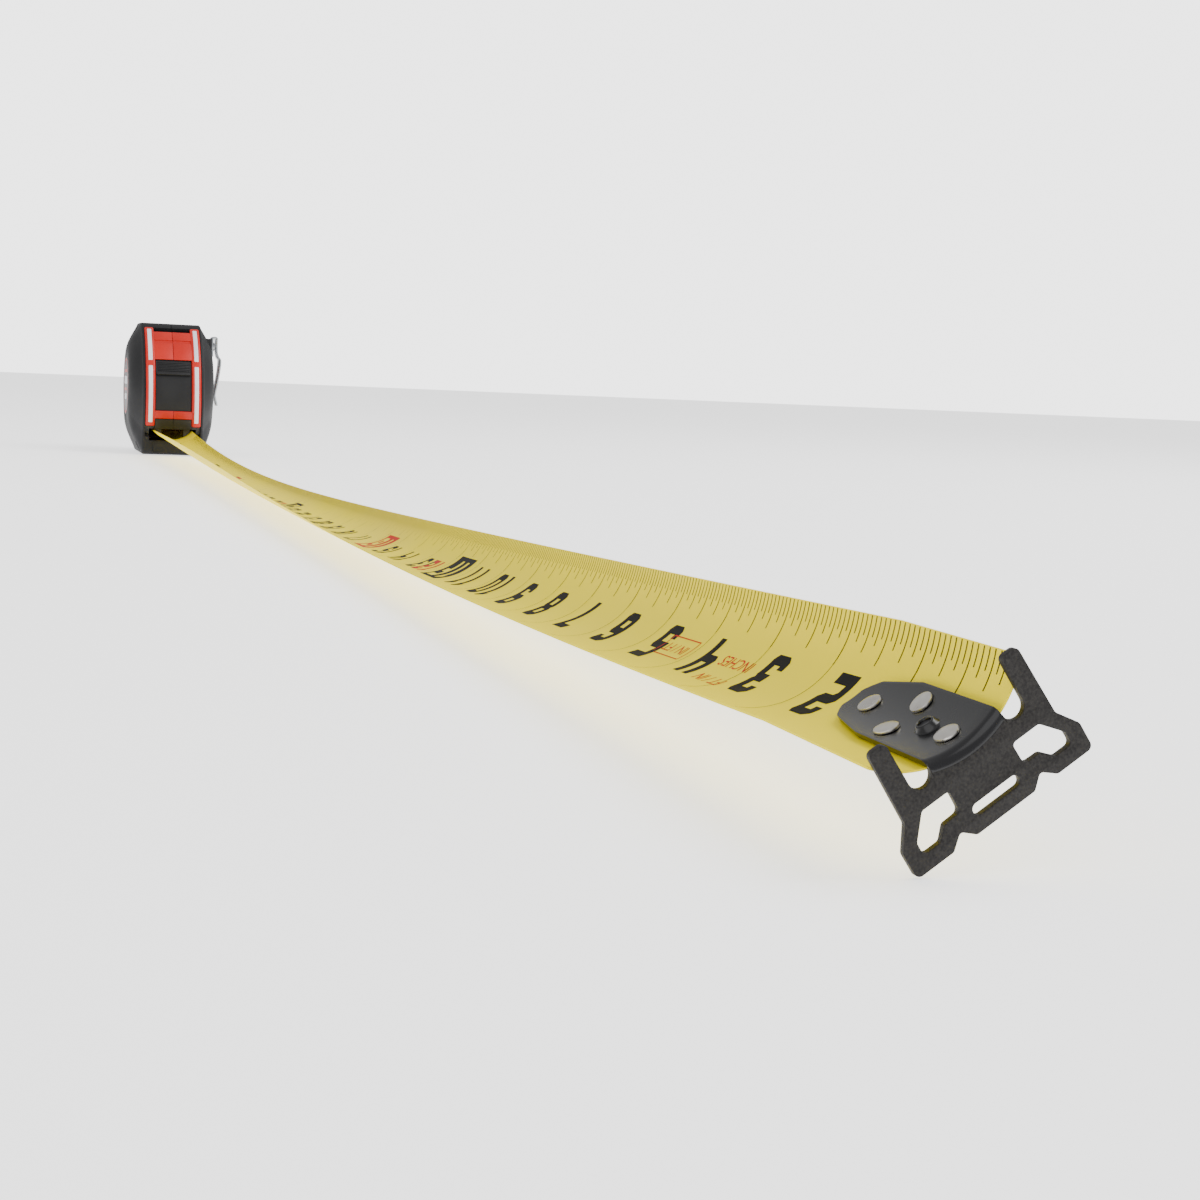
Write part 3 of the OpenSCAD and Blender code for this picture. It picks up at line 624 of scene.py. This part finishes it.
def wrapped(flat, name, material, up=0.035, cuts=True):
    """Lays flat marks (X along the scale from the hook, Y across) on the blade, one piece for each zone."""
    bm = bmesh.new()
    bm.from_mesh(flat)
    lines = [("X", END_X - TIP_X), ("X", END_X - BEND_X)]
    if cuts:
        lines += [("Y", v) for v in steps(-CUT_HALF, CUT_HALF, 24)]
        lines += [("X", s) for s in steps(0, BLADE_OUT, 160)]
    for axis, at in lines:
        co = (at, 0, 0) if axis == "X" else (0, at, 0)
        no = (1, 0, 0) if axis == "X" else (0, 1, 0)
        bmesh.ops.bisect_plane(bm, geom=bm.verts[:] + bm.edges[:] + bm.faces[:], plane_co=co, plane_no=no)
    for zone, x0, x1 in ZONES:
        part = bm.copy()
        gone = [f for f in part.faces if not x0 <= END_X - f.calc_center_median().x < x1]
        bmesh.ops.delete(part, geom=gone, context="FACES")
        if not part.faces:
            part.free()
            continue
        for q in part.verts:
            q.co = Vector(on_blade(END_X - q.co.x, q.co.y, BLADE_T + up)) * MM
        bmesh.ops.recalc_face_normals(part, faces=part.faces)
        if sum(f.normal.z for f in part.faces) < 0:
            bmesh.ops.reverse_faces(part, faces=part.faces)
        made = bpy.data.meshes.new(name)
        part.to_mesh(made)
        part.free()
        follow(piece(f"{name}_{zone}", made, material, None, smooth=0), zone)
    bm.free()


EDGE = BLADE_W / 2 - 0.15
ticks = tick_field()
for q in ticks.vertices:
    q.co.y = EDGE - q.co.y
wrapped(ticks, "scale_ticks", BLACK_INK, cuts=False)

lines, numbers, foot_marks, red_marks = [], [], [], []
for n in range(1, INCHES_OUT + 1):
    s = n * INCH
    lines.append(rectangle(s - 0.07, s + 0.07, EDGE - 9, -13.2 if n > 1 else 5.2))
wrapped(flat_mesh(lines), "scale_lines", BLACK_INK, up=0.028)
for n in range(2, INCHES_OUT + 1):
    s = n * INCH
    if n % 12 == 0:
        numbers.append(boxed(f"{n // 12}F", s - 19.0, 4.9, 6.4, 10.6))
        foot_marks.append(lettering(str(n), s + 2.4, 2.4, 5.2, 8.6))
    elif n < 10:
        numbers.append(lettering(str(n), s - 11.5, 4.8, 6.6, 11.4))
    elif n < 12:
        numbers.append(lettering(str(n), s - 16.4, 4.9, 6.2, 11.6))
    elif n % 16 == 0:
        red_marks.append(boxed(str(n), s - 17.5, 4.6, 6.0, 10.0))
    else:
        numbers.append(lettering(str(n), s - 14.6, 2.4, 5.2, 8.6))
wrapped(joined(*numbers), "scale_numbers", BLACK_INK)
wrapped(joined(*foot_marks), "foot_numbers", RED_INK, up=0.04)


def small_word(words, s0, v0, size):
    """A line of small capitals in the built-in face, on the scale."""
    c = bpy.data.curves.new("word", "FONT")
    c.body, c.size, c.fill_mode = words, size, "BOTH"
    out = plain_mesh(linked(bpy.data.objects.new("word", c)))
    for q in out.vertices:
        q.co = Vector((s0 + q.co.x, v0 - q.co.y, 0))
    return out


def hollow_box(s0, s1, v0, v1, t):
    return [rectangle(s0, s1, v0, v1), rectangle(s0 + t, s1 - t, v0 + t, v1 - t)]


red_marks += [small_word("INCHES", 3 * INCH - 1.2, 1.6, 3.9), small_word("FT / IN", 3 * INCH - 1.2, -4.4, 3.9),
              small_word("IN / FT", 4 * INCH + 3.2, 0.6, 3.6),
              flat_mesh(hollow_box(4 * INCH + 1.6, 4 * INCH + 15.6, -3.4, 2.6, 0.3))]
wrapped(joined(*red_marks), "red_numbers", RED_INK, up=0.04)
wrapped(flat_mesh([rectangle(0.0, 0.5, -CUT_HALF, CUT_HALF)]), "zero_edge", ENAMEL, up=0.02)


# ---------------------------------------------------------------- hook
AT_TIP = shift(END_X, 0, END_Z) @ Matrix.Rotation(math.radians(ROLL_END), 4, "X")


def corner(p0, p1, p2, r, n=6):
    """Points round a corner of radius r."""
    p0, p1, p2 = (Vector(p) for p in (p0, p1, p2))
    a, b = (p0 - p1).normalized(), (p2 - p1).normalized()
    half = math.acos(max(-1, min(1, a.dot(b)))) / 2
    c = p1 + (a + b).normalized() * r / math.sin(half)
    s, e = p1 + a * r / math.tan(half) - c, p1 + b * r / math.tan(half) - c
    a0 = math.atan2(s.y, s.x)
    turn = (math.atan2(e.y, e.x) - a0 + math.pi) % (2 * math.pi) - math.pi
    return [(c.x + r * math.cos(a0 + turn * i / n), c.y + r * math.sin(a0 + turn * i / n))
            for i in range(n + 1)]


def rounded(points, radii):
    n = len(points)
    return [q for i in range(n) for q in corner(points[i - 1], points[i], points[(i + 1) % n], radii[i])]


TONGUE, EAR, DROP, PRONG_W, PRONG_H = 6.2, 15.2, 10.2, 2.9, 8.4
NOTCH = (EAR - 2.6 - PRONG_W - TONGUE) / 2
PLATE_HALF_T, PLATE_EASE = 0.6, 0.14
CROWN_R = BLADE_R - 1.0
NAIL_X = -9.8
SEAT_R = BLADE_R - 1.5


def crown_rise(y):
    """How far the tongue's hollow has risen at y from its middle."""
    return CROWN_R - math.sqrt(CROWN_R * CROWN_R - y * y)


def plate_half():
    """Outline of the front plate's +Y half as (y, z), from the middle of its top to the middle of its foot."""
    inner, outer = TONGUE + 2 * NOTCH, TONGUE + 2 * NOTCH + PRONG_W
    notch = arc(TONGUE + NOTCH, 1.65, NOTCH, 180, 360, 14)
    top = [(y, crown_rise(y) - 0.25) for y in steps(0.4, TONGUE - 0.05, 8)]
    return (top + notch
            + corner((inner, 0), (inner, PRONG_H), (outer, PRONG_H), 0.9)
            + corner((inner, PRONG_H), (outer, PRONG_H), (outer, 0), 0.9)
            + corner((outer, 0), (outer + 0.3, -2.7), (EAR, -6), 0.9)
            + corner((outer, -2.7), (EAR, -6), (EAR, -DROP), 1.2)
            + corner((EAR, 0), (EAR, -DROP), (0, -DROP), 0.9)
            + corner((20, -DROP), (9, -DROP), (6.9, -8.4), 0.8)
            + corner((9, -DROP), (6.9, -8.4), (5, -DROP), 0.6)
            + corner((6.9, -8.4), (5, -DROP), (0, -DROP), 0.8))


def plate_mesh():
    """The pierced front plate, its edges eased."""
    half = plate_half()
    outline = [(-y, z) for y, z in half[::-1]] + half
    outline = outline[::-1]
    window = rounded([(5.4, -2.6), (10, -2.6), (EAR - 2.45, -5.9), (EAR - 2.4, 2.35 - DROP), (9.9, 2.35 - DROP),
                      (8.3, -6.1), (5.5, -6)], [0.6, 0.7, 0.8, 0.8, 0.8, 0.8, 0.9])
    slot = (arc(3.1, -7.2, 0.85, -90, 90, 10) + arc(-3.1, -7.2, 0.85, 90, 270, 10))
    other = [(-y, z) for y, z in window[::-1]]
    out = flat_mesh([outline, window, other, slot], extrude=PLATE_HALF_T - PLATE_EASE,
                    bevel_depth=PLATE_EASE, bevel_resolution=2, offset=-PLATE_EASE)
    upright = Matrix(((0, 0, 1, 0), (1, 0, 0, 0), (0, 1, 0, 0), (0, 0, 0, 1)))
    out.transform(shift(0.8, 0, 0) @ Matrix.Scale(MM, 4) @ upright)
    bm = bmesh.new()
    bm.from_mesh(out)
    bmesh.ops.remove_doubles(bm, verts=bm.verts, dist=1e-6)
    bmesh.ops.recalc_face_normals(bm, faces=bm.faces)
    bm.to_mesh(out)
    bm.free()
    return out


def tongue_mesh():
    """The tongue: up the plate, round the bend and back along the hollow of the blade."""
    t, bend, mid_z, mid_x = 0.5, 1.15, 0.98, 0.82
    path = [(mid_x, z, 1.0, 0.0) for z in (-0.9, -0.5)]
    for i in range(11):
        a = math.pi / 2 * i / 10
        path.append((mid_x - bend + bend * math.cos(a), mid_z - bend + bend * math.sin(a),
                     math.cos(a), math.sin(a)))
    tail = [(-2.5, TONGUE), (-8, TONGUE), (-14, TONGUE), (-20.1, TONGUE), (-20.9, TONGUE - 0.15), (-25.5, 5.25),
            (-30.2, 4.42), (-30.9, 4.1), (-32.4, 3.05), (-33.3, 2.2), (-33.6, 1.6)]
    path += [(x, mid_z, 0.0, 1.0) for x, _ in tail]
    halves = [TONGUE] * 13 + [h for _, h in tail]
    n = 24
    p = []
    for (x, z, nx, nz), half in zip(path, halves):
        ys = [half * (2 * j / n - 1) for j in range(n + 1)]
        rise = [crown_rise(y) for y in ys]
        p += [(x + nx * t, y, z + nz * t + r) for y, r in zip(ys, rise)]
        p += [(x - nx * t, y, z - nz * t + r) for y, r in zip(ys[::-1], rise[::-1])]
    return bevelled(mesh_of(p, skin(len(path), 2 * (n + 1)) + strip_ends(len(path), n)), 0.16, 2, 60)


def nail_hole():
    """The raised, pierced nub in the tongue."""
    ring = [(1.0, 1.3), (1.0, 2.3), (1.12, 2.45), (1.3, 2.45), (1.5, 2.3), (1.75, 1.7), (2.3, 1.42), (2.6, 1.35)]
    n = 40
    p = [(r * math.cos(2 * math.pi * i / n), r * math.sin(2 * math.pi * i / n), z)
         for r, z in ring for i in range(n)]
    return moved(mesh_of(p, skin(len(ring), n, ring=True)), shift(NAIL_X, 0, 0))


piece("hook_front_plate", moved(plate_mesh(), AT_TIP), POWDER, "hook", ["hook_plate"], 50)
piece("hook_tongue", moved(joined(tongue_mesh(), nail_hole()), AT_TIP), BLACKENED, "hook",
      smooth=50)
# Painted shade: a matte dark disc sunk in the nub's hole stands in for the dark inside of the pierced hole.
nail_hole_shade_disc = moved(lathe([(0, 2.05), (0.98, 2.05), (0.98, 1.4), (0, 1.4)], 32), AT_TIP @ shift(NAIL_X, 0, 0))
piece("hook_nail_hole", nail_hole_shade_disc, LABEL, "hook")

head = lathe([(0, 0.0), (1.75, 0.0), (1.9, 0.12), (1.92, 0.34), (1.84, 0.5), (1.6, 0.6), (1.0, 0.68),
              (0.4, 0.7), (0, 0.7)])
places = []
for x, y in ((-27.5, 0), (-16.2, 3.5), (-16.2, -3.5), (-4.0, 0)):
    tilt = math.asin(y / BLADE_R)
    spot = Vector((x, SEAT_R * math.sin(tilt), BLADE_R - SEAT_R * math.cos(tilt)))
    places.append((spot, (tilt, 0, 0)))
piece("hook_rivets", moved(set_out(head, places, NICKEL), AT_TIP), NICKEL, "blade_end",
      ["rivet_1", "rivet_2", "rivet_3", "rivet_4"], 35)


# ---------------------------------------------------------------- case
TOP_R, REAR_R, HEEL_R, CHIN_R = 16.0, 24.0, 14.0, 5.0
TOP_C = (FRONT[0] + math.sqrt((FRONT_R - TOP_R) ** 2 - (CASE_H - TOP_R - FRONT[1]) ** 2), CASE_H - TOP_R)
TOP_A = math.degrees(math.atan2(TOP_C[1] - FRONT[1], TOP_C[0] - FRONT[0]))


def outline():
    """Side outline of the case."""
    return (arc(*FRONT, FRONT_R, -19, TOP_A, 40) + arc(*TOP_C, TOP_R, TOP_A, 90, 10)[1:]
            + arc(BACK_X + REAR_R, CASE_H - REAR_R, REAR_R, 90, 180, 24)
            + arc(BACK_X + HEEL_R, HEEL_R, HEEL_R, 180, 270, 16)
            + arc(LIP_X - CHIN_R, CHIN_R, CHIN_R, 270, 360, 8))


def reach(points, a):
    """Distance from the reel's axis to the outline at angle a."""
    dx, dz = math.cos(a), math.sin(a)
    best = 0.0
    for (x0, z0), (x1, z1) in zip(points, points[1:] + points[:1]):
        ex, ez = x1 - x0, z1 - z0
        det = dx * ez - dz * ex
        if abs(det) < 1e-9:
            continue
        u = (x0 * ez - (z0 - REEL_Z) * ex) / det
        w = (x0 * dz - (z0 - REEL_Z) * dx) / det
        if -1e-6 <= w <= 1 + 1e-6 and u > best:
            best = u
    return best


def grip_mesh(side):
    """Half of the rubber: an outer skin from the seam, over the rim and up the dome, closed behind."""
    outer = outline()
    n = 220
    a_low = math.atan2(FRONT[1] + FRONT_R * math.sin(math.radians(-22)) - REEL_Z,
                       FRONT[0] + FRONT_R * math.cos(math.radians(-22)))
    a_high = math.atan2(FRONT[1] + FRONT_R * math.sin(math.radians(56.3)) - REEL_Z,
                        FRONT[0] + FRONT_R * math.cos(math.radians(56.3)))
    angles = sorted([2 * math.pi * k / n - math.pi for k in range(n)]
                    + [a_low, a_low - 0.002, a_high, a_high + 0.002])
    rows = []
    for a in angles:
        r = reach(outer, a)
        seam_y = WINDOW + RAIL_W + 0.06 if a_low <= a <= a_high else 0.1
        ring = [(r - 2.5, seam_y), (r - 0.35, seam_y), (r - 0.1, seam_y + 0.1), (r, seam_y + 0.25), (r, 19.1)]
        ring += [(r - 2.6 + 2.6 * math.cos(math.radians(b)), 19.1 + 1.6 * math.sin(math.radians(b)))
                 for b in (12, 25, 38, 51, 64)]
        foot, foot_y = ring[-1]
        for k in range(1, 19):
            s = k / 18
            ring.append((foot - (foot - 24.0) * s, foot_y + (28.96 - foot_y) * math.sin(math.pi / 2 * s) ** 1.1))
        ring += [(20.6, 28.98), (20.3, 28.9), (20.2, 28.45), (16.0, 28.45), (16.0, 20.05), (r - 2.5, 20.05)]
        rows.append([(q * math.cos(a), side * y, REEL_Z + q * math.sin(a)) for q, y in ring])
    return mesh_of([q for row in rows for q in row], skin(len(rows), len(rows[0]), ring=True))


def drum(r, y0, y1, x=0.0, z=REEL_Z, n=64):
    return prism([(x + r * math.cos(2 * math.pi * i / n), z + r * math.sin(2 * math.pi * i / n)) for i in range(n)],
                 min(y0, y1), max(y0, y1))


for side, name in ((-1, "left"), (1, "right")):
    # The mouth, then on the left the wells of the case screws
    tools = [block(LIP_X - 30, LIP_X + 6, -15.8, 15.8, 9.6, 17.85)]
    if side < 0:
        tools += [drum(3.2, -30, -19, x, z, 32) for x, z in ((-2, 84.4), (-31.5, 78.5), (-32, 12), (28, 5.4))]
    grip = cut(grip_mesh(side), *tools)
    if side > 0:
        pad = bevelled(block(-10, 10, 21, 29, 62, 81), 1.6, 4)
        grip = joined(grip, pad)
    piece(f"grip_{name}_half", grip, RUBBER, "case", [f"grip_{name}"], 32)

    y0, y1 = sorted((side * WINDOW, side * (WINDOW + RAIL_W)))
    rail = bevelled(band(58.3, RAIL_R, -15.5, 56, y0 + 0.03, y1 - 0.03, 60), 1.5, 5)
    c0, c1 = sorted((side * 0.1, side * (WINDOW + 0.4)))
    cap_low = bevelled(band(60.8, RAIL_R - 0.45, 28.4, 41.2, c0, c1, 16), 0.35, 3)
    cap_high = bevelled(band(60.8, RAIL_R - 0.45, 43.8, 51.5, c0, c1, 10), 0.35, 3)
    cap_floor = band(60.75, RAIL_R - 1.05, 40, 45, c0, c1, 6)
    bar = bevelled(band(60.8, RAIL_R - 0.4, -10.5, -5.4, c0, c1, 8), 0.35, 3)
    piece(f"rail_{name}_frame", joined(rail, cap_low, cap_high, cap_floor, bar), RED, "case",
          [f"rail_{name}"], 35)
    s0, s1 = sorted((side * (WINDOW + RAIL_W / 2 - 1.55), side * (WINDOW + RAIL_W / 2 + 1.55)))
    for part, a0, a1 in (("upper", 27.2, 53.6), ("lower", -13.0, 23.8)):
        stripe = bevelled(band(RAIL_R - 1.2, RAIL_R + 0.16, a0, a1, s0, s1, 40), 0.6, 4)
        piece(f"stripe_{name}_{part}_inlay", stripe, SILVER, "case", [f"stripe_{name}_{part}"], 35)
    lip = bevelled(band(60.3, RAIL_R - 0.35, -17.4, -10.85, side * 0.12 if side > 0 else -WINDOW + 0.05,
                        WINDOW - 0.05 if side > 0 else side * 0.12, 8), 0.4, 4)
    piece(f"mouth_lip_{name}", lip, SHELL, "case", smooth=35)

# Thumb lock: plate, ridge and fine ribs
half = WINDOW - 0.3
plate = band(58.6, 60.2, -14, 35, -half, half, 40)
ridge = bevelled(band(59.9, 62.15, 17.8, 19.6, -half + 0.6, half - 0.6, 4), 0.5, 4)
rib = bevelled(block(-0.35, 0.35, -half + 1, half - 1, -0.3, 0.3), 0.14, 2)
rib_places = []
for k in range(6):
    a = math.radians(21.1 + 1.1 * k)
    rib_places.append(((FRONT[0] + 60.22 * math.cos(a), 0, FRONT[1] + 60.22 * math.sin(a)), (0, -a, 0)))
piece("thumb_lock_plate", joined(plate, ridge, set_out(rib, rib_places, LOCK)), LOCK, "lock",
      ["thumb_lock"], 35)


# Belt clip: a sprung strip with a rounded top bend, a shoulder and a flared toe
def smooth_path(points, n=8):
    """A curve through the points."""
    out = []
    ends = [points[0]] + points + [points[-1]]
    for a, b, c, d in zip(ends, ends[1:], ends[2:], ends[3:]):
        for i in range(n):
            t = i / n
            out.append(tuple(0.5 * (2 * q + (r - p) * t + (2 * p - 5 * q + 4 * r - s) * t * t
                                    + (3 * q - p - 3 * r + s) * t**3) for p, q, r, s in zip(a, b, c, d)))
    return out + [points[-1]]


def clip_mesh():
    """Each point of the path is (y, z, half width)."""
    foot = 29.55
    path = [(foot, 68.5, 8.0), (foot, 72, 8.0), (foot, 77, 8.0)]
    path += [(foot + 1.6 - 1.6 * math.cos(math.radians(b)), 80.5 + 1.6 * math.sin(math.radians(b)), 7.4)
             for b in range(20, 180, 20)]
    path += [(foot + 3.2, 77.5, 6.2), (foot + 3.3, 71.5, 6.2), (foot + 4.3, 68.2, 7.6), (foot + 5.6, 66.0, 8.0),
             (foot + 5.3, 60.0, 8.0), (foot + 3.8, 50.0, 7.6), (foot + 2.5, 42.5, 6.6), (foot + 2.7, 40.0, 6.2),
             (foot + 4.1, 34.3, 5.4)]
    pts = smooth_path(path, 5)
    p = []
    for k, (y, z, h) in enumerate(pts):
        y0, z0, _ = pts[max(0, k - 1)]
        y1, z1, _ = pts[min(len(pts) - 1, k + 1)]
        length = math.hypot(y1 - y0, z1 - z0) or 1.0
        ny, nz = (z1 - z0) / length * 0.5, -(y1 - y0) / length * 0.5
        p += [(-h, y + ny, z + nz), (h, y + ny, z + nz), (h, y - ny, z - nz), (-h, y - ny, z - nz)]
    last = len(p)
    faces = skin(len(pts), 4) + [(0, 1, 2, 3), (last - 4, last - 3, last - 2, last - 1)]
    return bevelled(mesh_of(p, faces), 0.2, 2, 50)


piece("belt_clip_strip", clip_mesh(), STEEL, "case", ["belt_clip"], 45)


# Printed marks on the two side discs
def on_disc(flat, side):
    """Stands flat marks (X to the right, Y up, seen from outside) on a side disc."""
    turn = Matrix(((-side, 0, 0, 0), (0, 0, side, 0), (0, 1, 0, 0), (0, 0, 0, 1)))
    flat.transform(shift(0, side * DISC_Y, REEL_Z) @ Matrix.Scale(MM, 4) @ turn)
    return flat


def disc_ring(r0, r1, n=96):
    return [[(r * math.cos(2 * math.pi * i / n), r * math.sin(2 * math.pi * i / n)) for i in range(n)]
            for r in (r1, r0)]


for side, name in ((-1, "left"), (1, "right")):
    ring = flat_mesh(disc_ring(17.6, 19.2))
    piece(f"side_ring_{name}", on_disc(ring, side), RED, "case", smooth=0)
    if side < 0:
        bars = flat_mesh([rounded([(-12, 1.2), (12, 1.2), (12, 6.6), (-12, 6.6)], [1.2] * 4),
                          rounded([(-8, -9.4), (8, -9.4), (8, -5.4), (-8, -5.4)], [1] * 4)])
        piece("side_bars_left", on_disc(bars, side), PALE_INK, "case", smooth=0)
        strokes = flat_mesh([rounded([(-12, 9.2), (12, 9.2), (10, 11.4), (-10, 11.4)], [0.6] * 4),
                             rounded([(-11, -3.4), (11, -3.4), (11, -1.4), (-11, -1.4)], [0.6] * 4)])
        piece("side_strokes_left", on_disc(strokes, side), RED, "case", smooth=0)


# ---------------------------------------------------------------- floor, light and camera
bpy.ops.mesh.primitive_plane_add(size=14, location=(0.5, 0, -0.0003))
floor = bpy.context.object
floor.name = "floor"
floor.data.materials.append(FLOOR)

# How strongly the white surround lights the object, and how bright it looks behind it
SKY_LIGHT, SKY_SEEN = 0.8, 3.4
world = bpy.data.worlds.new("studio")
bpy.context.scene.world = world
world.use_nodes = True
sky = world.node_tree
sky.nodes["Background"].inputs["Color"].default_value = (1, 1, 1, 1)
seen, ray = sky.nodes.new("ShaderNodeMapRange"), sky.nodes.new("ShaderNodeLightPath")
seen.inputs["To Min"].default_value = SKY_LIGHT
seen.inputs["To Max"].default_value = SKY_SEEN
sky.links.new(ray.outputs["Is Camera Ray"], seen.inputs["Value"])
sky.links.new(seen.outputs["Result"], sky.nodes["Background"].inputs["Strength"])


def area_light(name, place, target, size, power):
    light = bpy.data.lights.new(name, "AREA")
    light.shape, light.size, light.size_y, light.energy = "RECTANGLE", size[0], size[1], power
    obj = linked(bpy.data.objects.new(name, light))
    obj.location = place
    obj.rotation_euler = (Vector(target) - Vector(place)).to_track_quat("-Z", "Y").to_euler()


area_light("key", (0.9, 1.3, 1.6), (0.6, 0, 0), (1.4, 1.4), 38)
area_light("fill", (1.9, -1.0, 1.2), (0.5, 0, 0), (1.6, 1.6), 10)

yaw, pitch, roll = math.radians(-71.936), math.radians(6.518), math.radians(2.493)
ahead = Vector((math.sin(yaw) * math.cos(pitch), math.cos(yaw) * math.cos(pitch), -math.sin(pitch)))
right = Vector((math.cos(yaw), -math.sin(yaw), 0))
above = right.cross(ahead)
right, above = (right * math.cos(roll) + above * math.sin(roll),
                above * math.cos(roll) - right * math.sin(roll))
camera = linked(bpy.data.objects.new("camera", bpy.data.cameras.new("camera")))
camera.matrix_world = Matrix.LocRotScale(
    Vector((1381.8, -124.0, 62.9)) * MM, Matrix((right, above, -ahead)).transposed().to_quaternion(), None)
camera.data.lens = 57.27
camera.data.sensor_width = 36
camera.data.clip_start = 0.01
bpy.context.scene.camera = camera
